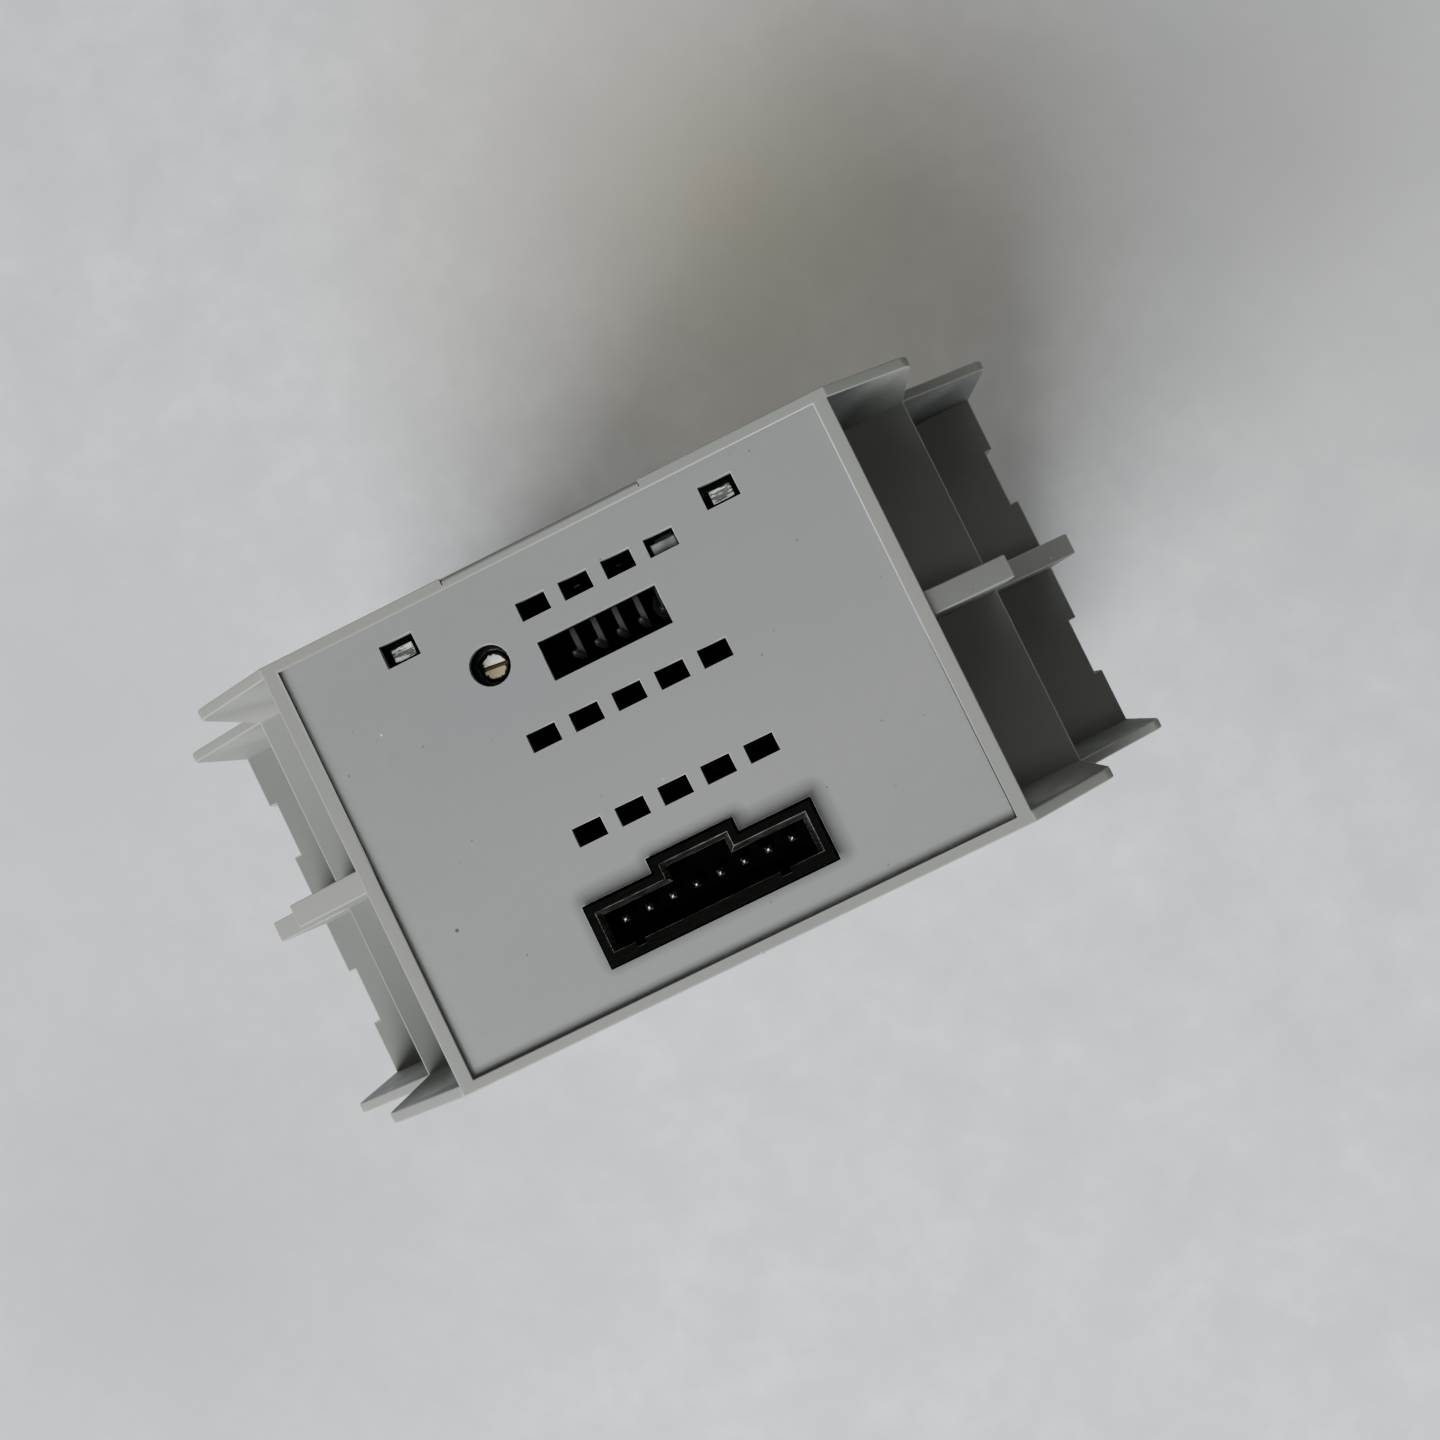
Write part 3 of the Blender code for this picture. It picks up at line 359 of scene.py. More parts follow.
class Look:
    """A material under construction: its nodes are worked out from object coordinates."""

    def __init__(self, name, roughness, metallic=0.0, **sockets):
        self.made = bpy.data.materials.new(name)
        self.made.use_nodes = True
        self.tree = self.made.node_tree
        self.shader = self.tree.nodes["Principled BSDF"]
        self.shader.inputs["Roughness"].default_value = roughness
        self.shader.inputs["Metallic"].default_value = metallic
        for socket, value in sockets.items():
            self.shader.inputs[socket.replace("_", " ")].default_value = value
        self.where = self.add("ShaderNodeTexCoord").outputs["Object"]

    def add(self, kind, **settings):
        node = self.tree.nodes.new(kind)
        for key, value in settings.items():
            setattr(node, key, value)
        return node

    def link(self, source, target):
        self.tree.links.new(source, target)

    def stretched(self, scale):
        """Object coordinates with a scale of their own along each axis."""
        node = self.add("ShaderNodeMapping")
        node.inputs["Scale"].default_value = scale
        self.link(self.where, node.inputs["Vector"])
        return node.outputs["Vector"]

    def noise(self, size, detail=3.0, where=None):
        """Noise whose features are about so many millimetres across."""
        node = self.add("ShaderNodeTexNoise")
        node.inputs["Scale"].default_value = 1 / (size * MM)
        node.inputs["Detail"].default_value = detail
        self.link(where or self.where, node.inputs["Vector"])
        return node.outputs["Fac"]

    def cells(self, size, feature="F1"):
        node = self.add("ShaderNodeTexVoronoi", feature=feature)
        node.inputs["Scale"].default_value = 1 / (size * MM)
        self.link(self.where, node.inputs["Vector"])
        return node.outputs

    def spread(self, value, low, high, start=0.0, end=1.0):
        """A value mapped from low..high to start..end, and held there."""
        node = self.add("ShaderNodeMapRange")
        for socket, number in (("From Min", low), ("From Max", high), ("To Min", start),
                               ("To Max", end)):
            node.inputs[socket].default_value = number
        self.link(value, node.inputs["Value"])
        return node.outputs["Result"]

    def times(self, first, second):
        node = self.add("ShaderNodeMath", operation="MULTIPLY")
        self.link(first, node.inputs[0])
        self.link(second, node.inputs[1])
        return node.outputs[0]

    def blend(self, share, first, second):
        """A colour between two, each a triple or the output of another node."""
        node = self.add("ShaderNodeMix", data_type="RGBA")
        self.link(share, node.inputs["Factor"])
        for socket, colour in ((node.inputs[6], first), (node.inputs[7], second)):
            if isinstance(colour, tuple):
                socket.default_value = (*colour, 1.0)
            else:
                self.link(colour, socket)
        return node.outputs[2]

    def specks(self, size, share, reach=0.06):
        """Sparse dots, one in some of the cells of a grid of this size."""
        cells = self.cells(size)
        near = self.spread(cells["Distance"], reach * 0.5, reach, 1.0, 0.0)
        chosen = self.add("ShaderNodeSeparateColor")
        self.link(cells["Color"], chosen.inputs["Color"])
        kept = self.spread(chosen.outputs["Red"], share, share + 0.02, 1.0, 0.0)
        return self.times(near, kept)

    def spot(self, x, y, radius, core=0.6):
        """A dot on a face that looks along Z, solid up to a share of its radius."""
        node = self.add("ShaderNodeVectorMath", operation="DISTANCE")
        self.link(self.stretched((1.0, 1.0, 0.0)), node.inputs[0])
        node.inputs[1].default_value = point(x, y, 0)
        return self.spread(node.outputs["Value"], radius * core * MM, radius * MM, 1.0, 0.0)

    def nearness(self, middle, half, reach):
        """How near a point of a face that looks along Z is to a rectangle, from 0 to 1."""
        value = self.stretched((1.0, 1.0, 0.0))
        for operation, operand in (("SUBTRACT", middle), ("ABSOLUTE", (0, 0)), ("SUBTRACT", half),
                                   ("MAXIMUM", (0, 0)), ("LENGTH", (0, 0))):
            node = self.add("ShaderNodeVectorMath", operation=operation)
            self.link(value, node.inputs[0])
            if operation in ("SUBTRACT", "MAXIMUM"):
                node.inputs[1].default_value = point(*operand, 0)
            value = node.outputs["Value" if operation == "LENGTH" else "Vector"]
        return self.spread(value, 0.0, reach * MM, 1.0, 0.0)

    def colour(self, socket):
        self.link(socket, self.shader.inputs["Base Color"])

    def rough(self, value, low, high):
        self.link(self.spread(value, 0.3, 0.7, low, high), self.shader.inputs["Roughness"])

    def bump(self, height, depth, strength=1.0, below=None):
        """Relief of so many millimetres, over another relief if there is one."""
        node = self.add("ShaderNodeBump")
        node.inputs["Strength"].default_value = strength
        node.inputs["Distance"].default_value = depth * MM
        self.link(height, node.inputs["Height"])
        if below:
            self.link(below, node.inputs["Normal"])
        self.link(node.outputs["Normal"], self.shader.inputs["Normal"])
        return node.outputs["Normal"]


def shaded(colour, factor):
    return tuple(channel * factor for channel in colour)


def moulded(name, colour, warm, roughness, grain=0.18, relief=0.012, specks=0.3, marks=(),
            painted_shadows=(), shine=0.5):
    """Moulded plastic: slow flow marks, a fine spark-eroded grain, dust and dark specks.

    Its painted shadows are darker strips round a rectangle, and its marks are single round stains.
    """
    look = Look(name, roughness, IOR=1.5, Specular_IOR_Level=shine)
    flow = look.noise(28.0, 2.0, look.stretched((0.35, 1.0, 0.6)))
    fine = look.noise(grain, 2.0)
    base = look.blend(look.spread(flow, 0.35, 0.65), shaded(colour, 0.965), warm)
    base = look.blend(look.spread(fine, 0.3, 0.7, 0.0, 0.10), base, shaded(colour, 0.72))
    base = look.blend(look.specks(1.9, specks, 0.07), base, shaded(colour, 0.38))
    base = look.blend(look.specks(3.1, specks * 0.5, 0.045), base, shaded(colour, 1.9))
    # painted shadow: the colour darkens towards each rectangle
    for middle, half, reach, depth in painted_shadows:
        share = look.spread(look.nearness(middle, half, reach), 0.0, 1.0, 0.0, depth)
        base = look.blend(share, base, shaded(colour, 0.12))
    for x, y, radius, tint in marks:
        base = look.blend(look.spot(x, y, radius), base, tint)
    look.colour(base)
    look.rough(look.noise(1.1, 4.0), roughness - 0.06, roughness + 0.08)
    look.bump(fine, relief, 0.6)
    return look.made


def black_plastic(name, deep, pale, shine):
    """Glass-filled black of the connectors: faint fibres and a satin skin."""
    look = Look(name, 0.3, IOR=1.45, Specular_IOR_Level=shine)
    fibres = look.noise(0.35, 4.0, look.stretched((0.25, 1.6, 1.6)))
    look.colour(look.blend(look.spread(fibres, 0.4, 0.75), deep, pale))
    look.rough(fibres, 0.36, 0.56)
    look.bump(fibres, 0.015, 0.5)
    return look.made


def metal(name, colour, dull, roughness, size=0.6, stretch=(1.0, 1.0, 0.15), metallic=1.0):
    """Plated or drawn metal: streaks along its length and a few dull patches."""
    look = Look(name, roughness, metallic)
    streaks = look.noise(size, 3.0, look.stretched(stretch))
    patches = look.noise(size * 5, 3.0)
    base = look.blend(look.spread(patches, 0.45, 0.75), colour, dull)
    look.colour(look.blend(look.spread(streaks, 0.3, 0.7, 0.0, 0.35), base, shaded(colour, 0.7)))
    look.rough(streaks, roughness - 0.08, roughness + 0.12)
    look.bump(streaks, 0.006, 0.4)
    return look.made


def lamp_plastic():
    """Clouded clear plastic with pale streaks across it, and a faint painted glow that brightens
    the lens.
    """
    look = Look("clear_plastic", 0.3, Transmission_Weight=0.1, IOR=1.45, Emission_Strength=0.24)
    streaks = look.noise(0.42, 2.0, look.stretched((0.3, 1.6, 1.0)))
    cloud = look.noise(0.9, 3.0)
    base = look.blend(look.spread(streaks, 0.47, 0.53), (0.10, 0.11, 0.10), (0.92, 0.95, 0.92))
    base = look.blend(look.spread(cloud, 0.4, 0.7, 0.0, 0.3), base, (0.5, 0.53, 0.5))
    look.colour(base)
    # painted glow: the lens gives off light in its own colour, though the lamp is not lit
    look.link(base, look.shader.inputs["Emission Color"])
    look.rough(streaks, 0.25, 0.5)
    look.bump(streaks, 0.05, 0.8)
    return look.made


def screw_face(centre, heading, top, rim):
    """Plated brass of the trimmer's screw: whiter on one side of its slot, with painted shade in
    the slot and a ragged painted shadow of the teeth at the rim.
    """
    tan, white, scratched = (0.80, 0.70, 0.46), (0.97, 0.96, 0.92), (0.62, 0.56, 0.42)
    slot_shade, rim_shadow = (0.16, 0.115, 0.06), (0.01, 0.009, 0.007)
    look = Look("screw_brass", 0.42, 0.55)
    place = look.add("ShaderNodeMapping", vector_type="TEXTURE")
    place.inputs["Location"].default_value = point(*centre, 0)
    place.inputs["Rotation"].default_value = (0, 0, math.radians(heading))
    look.link(look.where, place.inputs["Vector"])
    parts = look.add("ShaderNodeSeparateXYZ")
    look.link(place.outputs["Vector"], parts.inputs["Vector"])
    flat = look.add("ShaderNodeVectorMath", operation="MULTIPLY")
    flat.inputs[1].default_value = (1.0, 1.0, 0.0)
    look.link(place.outputs["Vector"], flat.inputs[0])
    reach = look.add("ShaderNodeVectorMath", operation="LENGTH")
    look.link(flat.outputs["Vector"], reach.inputs[0])
    ragged = look.add("ShaderNodeMath", operation="MULTIPLY_ADD")
    look.link(look.noise(0.32, 2.0), ragged.inputs[0])
    ragged.inputs[1].default_value = 0.7 * MM
    look.link(reach.outputs["Value"], ragged.inputs[2])
    scratch = look.noise(0.25, 4.0, look.stretched((1.0, 0.25, 1.0)))
    base = look.blend(look.spread(parts.outputs["Y"], -0.1 * MM, 0.3 * MM), tan, white)
    base = look.blend(look.spread(scratch, 0.35, 0.65, 0.0, 0.3), base, scratched)
    # below the face: painted shade in the slot
    face = look.spread(parts.outputs["Z"], (top - 0.3) * MM, (top - 0.2) * MM)
    base = look.blend(face, slot_shade, base)
    # a ragged dark strip at the rim: painted shadow of the teeth
    rim_share = look.spread(ragged.outputs[0], (rim + 0.22) * MM, (rim + 0.26) * MM)
    look.colour(look.blend(rim_share, base, rim_shadow))
    look.rough(scratch, 0.34, 0.52)
    look.bump(scratch, 0.01, 0.5)
    return look.made


def board():
    """Green solder mask over copper lanes."""
    look = Look("board_green", 0.55, IOR=1.5, Specular_IOR_Level=0.15)
    lanes = look.add("ShaderNodeTexBrick", offset=0.5, squash=1.0)
    lanes.inputs["Scale"].default_value = 1 / (4.0 * MM)
    lanes.inputs["Mortar Size"].default_value = 0.08
    lanes.inputs["Mortar Smooth"].default_value = 0.1
    look.link(look.stretched((1.0, 1.0, 0.7)), lanes.inputs["Vector"])
    mask = look.blend(lanes.outputs["Fac"], (0.005, 0.034, 0.014), (0.012, 0.06, 0.024))
    shade = look.spread(look.noise(3.0), 0.4, 0.7, 0.0, 0.4)
    look.colour(look.blend(shade, mask, (0.003, 0.02, 0.009)))
    look.rough(look.noise(0.8), 0.5, 0.65)
    look.bump(lanes.outputs["Fac"], 0.03, 0.6)
    return look.made


def ceramic():
    """Unglazed ceramic of the power resistors: grainy, with small pores."""
    look = Look("ceramic", 0.7)
    grain = look.noise(0.25, 4.0)
    base = look.blend(look.spread(grain, 0.3, 0.7), (0.58, 0.56, 0.5), (0.74, 0.72, 0.67))
    look.colour(look.blend(look.specks(0.9, 0.5, 0.1), base, (0.2, 0.19, 0.17)))
    look.rough(grain, 0.6, 0.85)
    look.bump(grain, 0.04, 0.8)
    return look.made


def shiny_skin(name, colour, light, roughness, coat=0.25):
    """Dipped or sleeved parts: a smooth skin with slow waves and dust."""
    look = Look(name, roughness, Coat_Weight=coat, Specular_IOR_Level=min(0.5, coat * 2))
    wave = look.noise(1.6, 2.0)
    base = look.blend(look.spread(wave, 0.35, 0.65), colour, light)
    look.colour(look.blend(look.specks(0.8, 0.3, 0.08), base, shaded(light, 1.8)))
    look.rough(look.noise(0.3), roughness - 0.06, roughness + 0.1)
    look.bump(wave, 0.05, 0.5)
    return look.made


def pale_floor():
    """Plain pale sheet that the module stands on, with painted shadow in two of its patches."""
    look = Look("pale_floor", 0.85)
    cloud = look.noise(14.0, 5.0)
    fibre = look.noise(4.5, 4.0)
    base = look.blend(look.spread(cloud, 0.35, 0.65), (0.60, 0.635, 0.685), (0.735, 0.765, 0.81))
    base = look.blend(look.spread(fibre, 0.35, 0.65, 0.0, 0.5), base, (0.565, 0.595, 0.64))
    for x, y, radius, tint in FLOOR_PATCHES:
        base = look.blend(look.spot(x, y, radius, 0.0), base, tint)
    look.colour(base)
    look.rough(fibre, 0.75, 0.95)
    look.bump(fibre, 0.25, 0.35)
    return look.made


GREY = (0.200, 0.213, 0.203)
HOUSING = moulded("housing_grey", GREY, (0.212, 0.222, 0.206), 0.58, shine=0.3)
# a darker copy of the housing for the deep bay floors: painted shade
HOUSING_BAY_SHADE = moulded("housing_bay_shade", shaded(GREY, 0.74), shaded(GREY, 0.8), 0.7, specks=0.12,
                        shine=0.2)
# lighter, glossier looks for rounded edges: partly wear, partly painted highlight
HOUSING_EDGE_WEAR_AND_HIGHLIGHT = moulded("housing_edge_wear_and_highlight", shaded(GREY, 1.22), shaded(GREY, 1.3), 0.36, 0.3, 0.004, 0.1)
PANEL = moulded("panel_grey", (0.190, 0.206, 0.213), (0.204, 0.215, 0.214), 0.46, 0.14, 0.008,
                marks=PANEL_MARKS, painted_shadows=PANEL_SHADOWS)
PANEL_EDGE_WEAR_AND_HIGHLIGHT = moulded("panel_edge_wear_and_highlight", (0.25, 0.265, 0.27), (0.265, 0.28, 0.28), 0.36, 0.3, 0.004, 0.1)
LATCH = moulded("latch_grey", (0.15, 0.157, 0.165), (0.165, 0.17, 0.175), 0.42)
LATCH_EDGE_WEAR_AND_HIGHLIGHT = moulded("latch_edge_wear_and_highlight", (0.22, 0.23, 0.24), (0.25, 0.255, 0.26), 0.32, 0.3, 0.004, 0.1)
BLACK = black_plastic("black_plastic", (0.001, 0.0014, 0.001), (0.003, 0.004, 0.003), 0.04)
# a lighter black: painted highlight on the header's lead-in, and partly wear, partly painted
# highlight on the carrier's edges
BLACK_SCUFF_AND_HIGHLIGHT = black_plastic("black_scuff_and_highlight", (0.003, 0.004, 0.0035), (0.016, 0.018, 0.016), 0.12)
# a much lighter black for the edges of the header's mouth: painted highlight
BLACK_EDGE_HIGHLIGHT = black_plastic("black_edge_highlight", (0.01, 0.012, 0.011), (0.14, 0.145, 0.14), 0.4)
LAMP = lamp_plastic()
BLUE = shiny_skin("trimmer_blue", (0.002, 0.003, 0.005), (0.004, 0.006, 0.009), 0.55, 0.06)
FILM = shiny_skin("film_grey", (0.02, 0.022, 0.022), (0.035, 0.037, 0.037), 0.75, 0.0)
LUG = shiny_skin("lug_grey", (0.10, 0.105, 0.105), (0.18, 0.19, 0.19), 0.55, 0.1)
LUG_DARK = shiny_skin("lug_shaded", (0.012, 0.015, 0.014), (0.10, 0.11, 0.11), 0.6, 0.1)
CERAMIC = ceramic()
BOARD = board()
BRASS = metal("brass", (0.86, 0.78, 0.62), (0.62, 0.50, 0.30), 0.4, 0.5, (0.3, 1.0, 1.0))
TIN = metal("tin", (0.84, 0.84, 0.82), (0.66, 0.65, 0.62), 0.34)
SHADED_TIN = metal("tin_shaded", (0.10, 0.10, 0.10), (0.07, 0.07, 0.068), 0.45)
DULL_TIN = metal("dull_tin", (0.86, 0.86, 0.84), (0.74, 0.73, 0.70), 0.5, metallic=0.25)
STEEL = metal("steel", (0.62, 0.62, 0.63), (0.45, 0.45, 0.46), 0.28)
ALUMINIUM = metal("aluminium", (0.03, 0.03, 0.032), (0.02, 0.02, 0.021), 0.5, 0.8)
SLEEVE = shiny_skin("capacitor_sleeve", (0.012, 0.016, 0.035), (0.02, 0.026, 0.05), 0.3)


# ---------------------------------------------------------------- housing

def build_housing():
    """Hood and base, with painted shade on the floors of their bays."""
    for name, node in (("hood", "upper_housing"), ("base", "base_housing")):
        piece = copied(name, node, HOUSING)
        piece.data.materials.append(HOUSING_BAY_SHADE)
        for face in piece.data.polygons:
            if face.normal.z > LEVEL and face.center.z < (RIM - BAY_DEPTH) * MM:
                face.material_index = 1
        edges(piece, HOUSING_EDGE, edge_look=HOUSING_EDGE_WEAR_AND_HIGHLIGHT)
        wear(piece, "housing", node)


def build_tongue_grooves():
    """Fine cuts at both ends of the chamfered rim over the panel's holding tongue."""
    hood = bpy.data.objects["hood"]
    width, depth, height = TONGUE_CUT
    for x in (TONGUE_HALF, -TONGUE_HALF):
        cut = block("cut", (x - width / 2, HOOD_HIGH.y - depth, RIM - height),
                    (x + width / 2, HOOD_HIGH.y + CLEAR, RIM + CLEAR))
        combined(hood, cut, "DIFFERENCE")
    shaded_flat(hood)


def build_gate_marks():
    """Torn moulding gates: small rough crumbs on the near rim."""
    length, depth = GATE_RIPPLE
    for index, (x, inward, drop, size) in enumerate(GATE_MARKS):
        work = bmesh.new()
        bmesh.ops.create_icosphere(work, subdivisions=3, radius=size * MM)
        for corner in work.verts:
            ripple = noise.noise(corner.co / (length * MM) + Vector((index, 0, 0)))
            corner.co += corner.co.normalized() * ripple * size * depth * MM
            corner.co.z *= GATE_FLATNESS
        bmesh.ops.translate(work, verts=work.verts,
                            vec=point(x, inward - HOOD_HIGH.y, RIM - drop))
        crumb = from_bmesh(f"gate_mark_{index + 1}", work)
        crumb.data.shade_smooth()
        coated(crumb, HOUSING_EDGE_WEAR_AND_HIGHLIGHT)
        wear(crumb, "housing", None)


def build_panel():
    """A thin grey face over a black carrier; both fill the hood's frame."""
    split = PANEL_HIGH.z - FACE_THICK
    out = PANEL_BEYOND
    for name, look, edge_look, low, high, slot in (
            ("panel", PANEL, PANEL_EDGE_WEAR_AND_HIGHLIGHT, split, PANEL_HIGH.z + CLEAR, "panel_grey"),
            ("panel_carrier", BLACK, BLACK_SCUFF_AND_HIGHLIGHT, PANEL_LOW.z - CLEAR, split, "black_plastic")):
        piece = copied(name, "front_panel", look)
        for corner in piece.data.vertices:
            for axis, grown in enumerate(PANEL_GROWTH):
                side = corner.co[axis]
                if abs(side) > (PANEL_HIGH[axis] - PANEL_MARGIN) * MM:
                    corner.co[axis] += math.copysign(grown * MM, side)
        kept = block("kept", (-out, -out, low), (out, out, high))
        combined(piece, kept, "INTERSECT")
        coated(piece, look)
        edges(piece, PANEL_EDGE, edge_look=edge_look)
        wear(piece, "housing", "front_panel")


def build_latch():
    piece = copied("latch", "rail_latch", LATCH)
    edges(piece, HOUSING_EDGE, edge_look=LATCH_EDGE_WEAR_AND_HIGHLIGHT)
    wear(piece, "latch", "rail_latch")


# ---------------------------------------------------------------- motor header

def shell_outline(inset, z, groove=0.0, near=None):
    """Outline of the plug header at one height, with its key bump and coding grooves."""
    x, key_x = SHELL_HALF - inset, SHELL_KEY[0] - inset
    low = SHELL_Y[0] + (inset if near is None else near)
    high, key = SHELL_Y[1] - inset, SHELL_KEY[1] - inset
    spots = [(-x, low)]
    for middle in CODING_X:
        left, right = middle - CODING[0] / 2, middle + CODING[0] / 2
        spots += [(left, low), (left, low - groove), (right, low - groove), (right, low)]
    spots += [(x, low), (x, high), (key_x, high), (key_x, key), (-key_x, key), (-key_x, high),
              (-x, high)]
    return [(*spot, z) for spot in spots]


def build_motor_header():
    """Shroud of the motor plug: painted highlights along the edges of its mouth and on its lead-in
    chamfer, plain along its outer edges.
    """
    foot = SHELL_TOP - SHELL_DEPTH
    lead, lead_depth = SHELL_LEAD
    rings = [shell_outline(0.0, foot), shell_outline(0.0, SHELL_TOP),
             shell_outline(SHELL_WALL - lead, SHELL_TOP, CODING[1], SHELL_WALL - SHELL_NEAR_LEAD),
             shell_outline(SHELL_WALL, SHELL_TOP - lead_depth, CODING[1]),
             shell_outline(SHELL_WALL, foot + SHELL_FLOOR, CODING[1])]
    shell = lofted("motor_header", rings)
    for look in (BLACK, BLACK_SCUFF_AND_HIGHLIGHT):
        shell.data.materials.append(look)
    plain, lead_in_highlight, edge_look = range(3)
    for face in shell.data.polygons:
        # lead-in faces take the lighter black: painted highlight
        if SHELL_SLOPE[0] < face.normal.z < SHELL_SLOPE[1]:
            face.material_index = lead_in_highlight
    edges(shell, SHELL_EDGE, edge_look=BLACK_EDGE_HIGHLIGHT)
    outside = SHELL_OUTSIDE
    for face in shell.data.polygons:
        x, y = abs(face.center.x) / MM, face.center.y / MM
        inside = any(x < half - outside and SHELL_Y[0] + outside < y < far - outside
                     for half, far in ((SHELL_HALF, SHELL_Y[1]), SHELL_KEY))
        if face.material_index == edge_look and not inside:
            face.material_index = plain
    wear(shell, "housing", "motor_header_shell")


def pin_row(node, name, look, side, shaft=None):
    """Bent pins that point out of the front; their feet leave towards one side along Y.

    In a deep header only the tips catch the light, so their shafts can have a look of their own.
    """
    index = 1
    while f"{node}_{index}" in NODES:
        low, high = low_high(f"{node}_{index}")
        back, foot = (low.y, high.y) if side > 0 else (high.y, low.y)
        y, z = back + side * PIN / 2, low.z + PIN / 2
        made = pin(f"{name}_{index}", (low.x + high.x) / 2, [(y, high.z), (y, z), (foot, z)], look)
        if shaft:
            made.data.materials.append(shaft)
            for face in made.data.polygons:
                if face.center.z < (high.z - PIN_TIP[1] * PIN_BRIGHT) * MM:
                    face.material_index = len(made.data.materials) - 1
        wear(made, "housing", f"{node}_{index}")
        index += 1


def build_pins():
    pin_row("motor_pin", "motor_contact", TIN, -1, SHADED_TIN)
    pin_row("service_pin", "service_contact", DULL_TIN, 1)


# ---------------------------------------------------------------- small parts

def build_plain_parts():
    """Parts inside whose CAD shape only needs rounder edges and a better finish."""
    for node, look, slot, width in (
            ("service_header_body", BLACK, "black_plastic", 0.12),
            ("film_capacitor", FILM, "film_grey", 0.45),
            ("trimmer_body", BLUE, "trimmer_blue", 0.1)):
        piece = copied(node + "_shape", node, look)
        edges(piece, width)
        wear(piece, "housing", node)


def build_lugs():
    """Rounded shoulders of the film capacitor that show in the last vent of the far row."""
    for index, (near, far, drop, height) in enumerate(LUGS):
        top = PANEL_HIGH.z - drop
        levels = ((0, top - height), (0, top - LUG_CHAMFER), (LUG_CHAMFER, top))
        lug = plinth(f"capacitor_lug_{index + 1}", near, far, levels)
        coated(lug, (LUG, LUG_DARK)[index])
        edges(lug, LUG_EDGE)
        wear(lug, "housing", None)


def build_lamps():
    """Lamps with a black frame and a streaked lens that stands a little proud of it."""
    length, width, thick, proud = LENS
    for side in ("left", "right"):
        node = "status_led_" + side
        frame_piece = copied("lamp_frame_" + side, node, BLACK)
        edges(frame_piece, LAMP_EDGE)
        wear(frame_piece, "housing", node)
        low, high = low_high(node)
        middle = Vector(((low.x + high.x) / 2, high.y - LAMP_HALF + LENS_SHIFT))
        half, top = Vector((length / 2, width / 2)), high.z + proud
        levels = ((0, top - thick), (0, top - LENS_CHAMFER), (LENS_CHAMFER, top))
        lens = plinth("lamp_lens_" + side, middle - half, middle + half, levels)
        for index, share in enumerate(LENS_GROOVES):
            start, end = GROOVE_START * length, GROOVE_ENDS[index % 2] * length
            y = share * width
            groove = block("groove", (start, y - GROOVE[0], top - GROOVE[1]),
                           (end, y + GROOVE[0], top + CLEAR))
            turn = math.radians(GROOVE_TURN[0] + GROOVE_TURN[1] * index)
            groove.data.transform(Matrix.Rotation(turn, 4, "Z"))
            groove.data.transform(Matrix.Translation(point(*middle, 0)))
            combined(lens, groove, "DIFFERENCE")
        coated(lens, LAMP)
        edges(lens, LENS_EDGE)
        wear(lens, "housing", node)


def build_rotor():
    """Slotted brass screw of the trimmer, inside a thin tinned ring."""
    low, high = low_high("trimmer_rotor")
    centre = ((low.x + high.x) / 2, (low.y + high.y) / 2)
    radius = (high.x - low.x) / 2
    width, depth, heading = ROTOR_SLOT
    teeth, tooth = ROTOR_KNURL
    profile = [(0, low.z), (radius, low.z), (radius, high.z - ROTOR_CHAMFER),
               (radius - ROTOR_CHAMFER, high.z), (0, high.z)]
    rotor = turned("rotor_screw", profile, centre, 4 * teeth)
    for corner in rotor.data.vertices:
        arm = (corner.co - point(*centre, corner.co.z / MM)) / MM
        if arm.length > radius - ROTOR_RIM:
            wave = math.cos(teeth * math.atan2(arm.y, arm.x))
            corner.co -= arm.normalized() * max(0.0, wave) * tooth * MM
    slot = block("slot", (-ROTOR_BEYOND, -width / 2, high.z - depth),
                 (ROTOR_BEYOND, width / 2, high.z + CLEAR))
    slot.data.transform(Matrix.Rotation(math.radians(heading), 4, "Z"))
    slot.data.transform(Matrix.Translation(point(*centre, 0)))
    combined(rotor, slot, "DIFFERENCE")
    coated(rotor, screw_face(centre, heading, high.z, radius - ROTOR_BORDER))
    edges(rotor, ROTOR_EDGE)
    wear(rotor, "rotor", "trimmer_rotor")
    inner, outer, rise, tall = TRIMMER_RING
    roof = low_high("trimmer_body")[1].z
    profile = [(inner, roof - tall), (inner, roof + rise), (outer, roof + rise),
               (outer, roof - tall)]
    ring = turned("trimmer_ring", profile, centre)
    coated(ring, TIN)
    edges(ring, TRIMMER_RING_EDGE)
    wear(ring, "housing", None)


def build_spring():
    """Coil behind the latch, with its end coils closer."""
    low, high = low_high("latch_spring")
    wire = SPRING_WIRE
    radius = (high.y - low.y - wire) / 2
    axis_z = (low.z + high.z) / 2
    points = SPRING_TURNS * SPRING_STEPS
    closed, closer = SPRING_CLOSED
    start, end = low.x + wire / 2, high.x - wire / 2
    curve = bpy.data.curves.new("spring", "CURVE")
    curve.dimensions = "3D"
    curve.bevel_depth = wire / 2 * MM
    curve.bevel_resolution = 4
    curve.use_fill_caps = True
    spline = curve.splines.new("POLY")
    spline.points.add(points)
    for step, spot in enumerate(spline.points):
        share = step / points
        closing = max(0.0, abs(share - 0.5) * 2 - (1 - closed)) / closed
        eased = share + math.copysign(closing * closing * closer, share - 0.5)
        turn = 2 * math.pi * SPRING_TURNS * share
        x = start + (end - start) * min(1.0, max(0.0, eased))
        spot.co = (*point(x, radius * math.cos(turn), axis_z + radius * math.sin(turn)), 1)
    spring = applied(linked("spring", curve))
    spring.data.shade_smooth()
    coated(spring, STEEL)
    wear(spring, "housing", "latch_spring")
    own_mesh(spring)


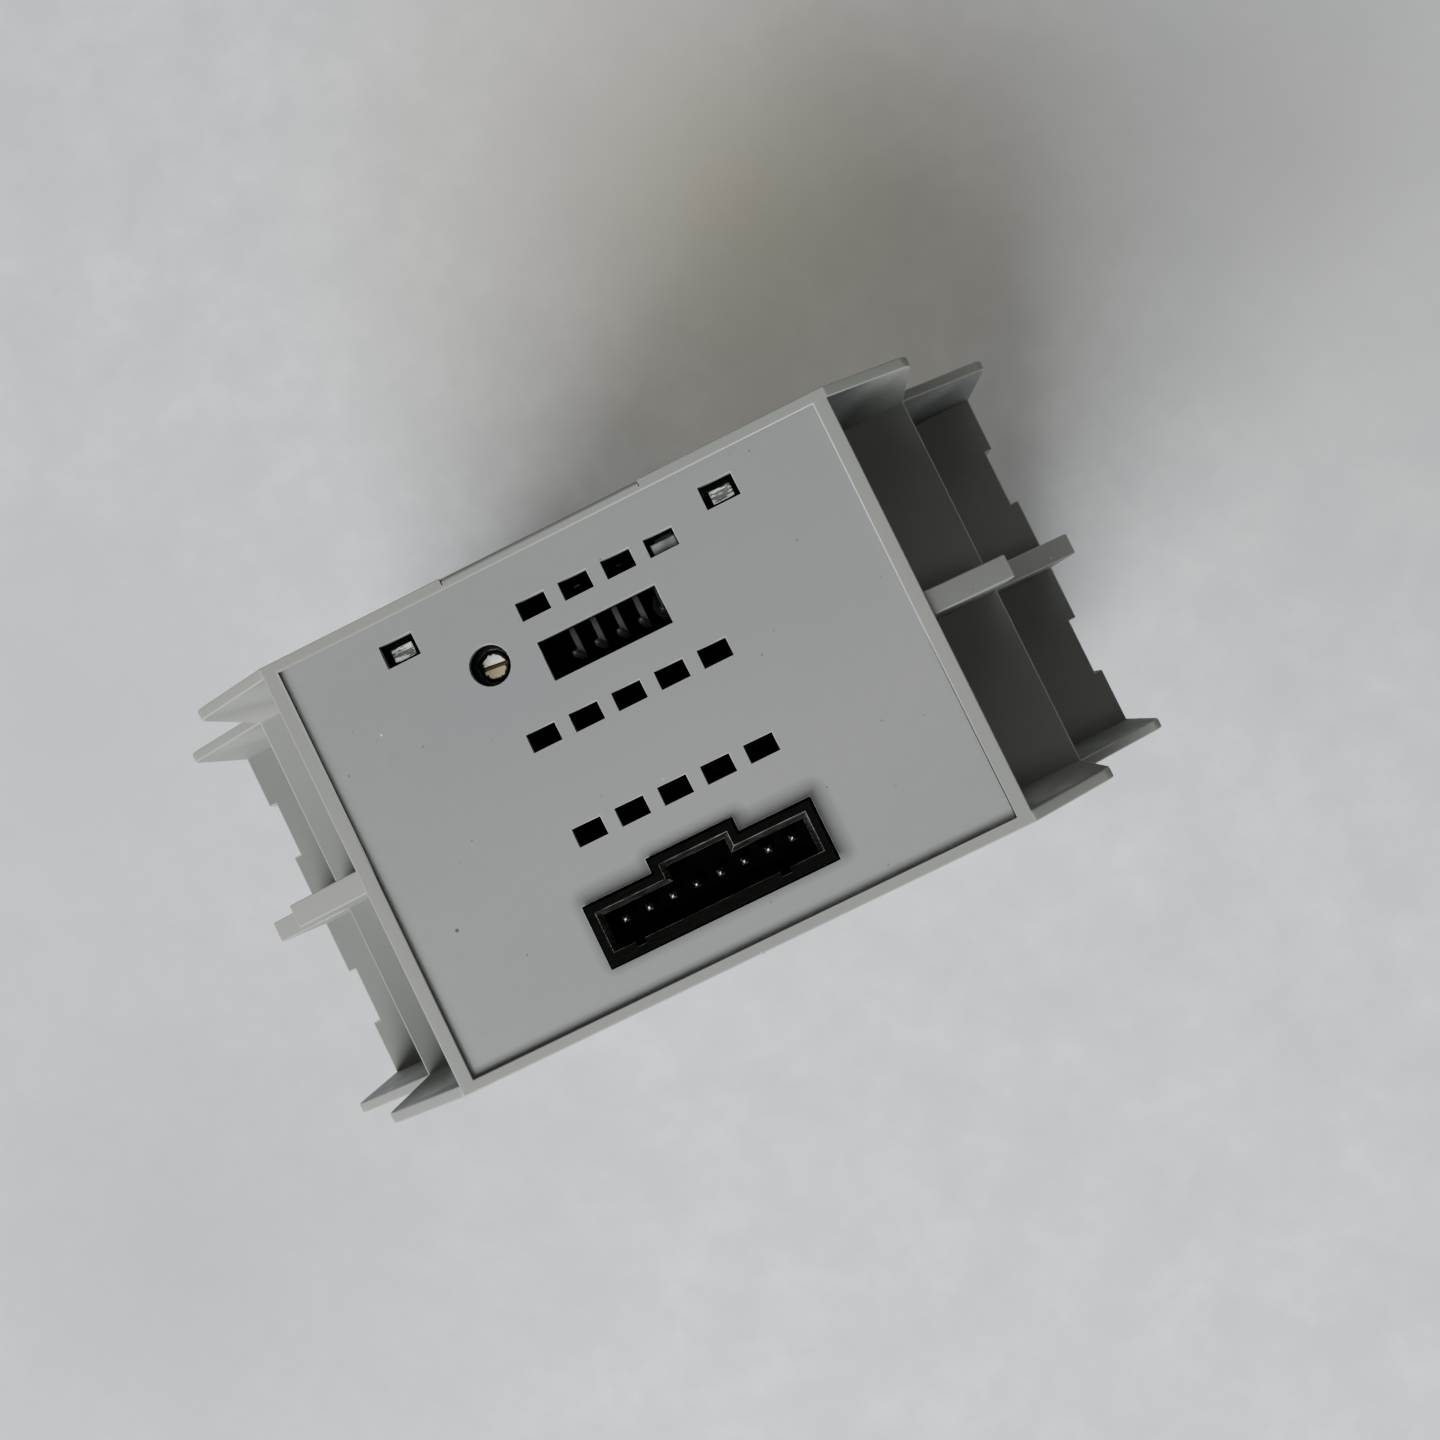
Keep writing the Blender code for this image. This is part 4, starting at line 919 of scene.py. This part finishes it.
def dress_nodes():
    """Give every CAD node that stays its finished material."""
    looks = {"power_board": BOARD, "control_board": BOARD, "link_board": BOARD,
             "link_socket": BLACK, "microcontroller": BLACK, "crystal": SHADED_TIN,
             "voltage_regulator": BLACK, "heat_sink": ALUMINIUM, "driver_ic": BLACK,
             "driver_screw": STEEL, "bulk_capacitor": SLEEVE, "sense_resistor": CERAMIC,
             "board_spacer": BRASS, "spacer_screw": STEEL}
    for name, node in NODES.items():
        for start, look in looks.items():
            if name.startswith(start) and not node.hide_render:
                for place in node.material_slots:
                    place.material = look


# ---------------------------------------------------------------- stage

def build_floor():
    work = bmesh.new()
    bmesh.ops.create_grid(work, x_segments=1, y_segments=1, size=FLOOR_HALF * MM)
    floor = from_bmesh("floor", work)
    coated(floor, pale_floor())


def softbox(name, heading, height, size, power, colour):
    """A square light that faces the module's front."""
    light = bpy.data.lights.new(name, "AREA")
    light.size = size * MM
    light.energy = power
    light.color = colour
    lamp = linked(name, light)
    turn, rise = math.radians(heading), math.radians(height)
    away = Vector((math.cos(turn) * math.cos(rise), math.sin(turn) * math.cos(rise),
                   math.sin(rise)))
    lamp.location = point(0, 0, RIM) + away * LIGHT_DISTANCE * MM
    lamp.rotation_euler = away.to_track_quat("Z", "Y").to_euler()


def build_light():
    for light in LIGHTS:
        softbox(*light)
    world = bpy.data.worlds.new("room")
    world.use_nodes = True
    sky = world.node_tree.nodes["Background"]
    sky.inputs["Color"].default_value = (*SKY_COLOUR, 1.0)
    sky.inputs["Strength"].default_value = SKY
    bpy.context.scene.world = world


def build_camera():
    lens = bpy.data.cameras.new("camera")
    lens.lens = CAMERA_LENS
    lens.clip_start = CAMERA_NEAR * MM
    camera = linked("camera", lens)
    camera.location = point(*CAMERA_AT)
    camera.rotation_euler = [math.radians(turn) for turn in (*CAMERA_TILT, CAMERA_ROLL)]
    bpy.context.scene.camera = camera


build_camera()
build_light()
build_floor()
build_housing()
build_tongue_grooves()
build_gate_marks()
build_panel()
build_latch()
build_motor_header()
build_pins()
build_plain_parts()
build_lugs()
build_lamps()
build_rotor()
build_spring()
dress_nodes()
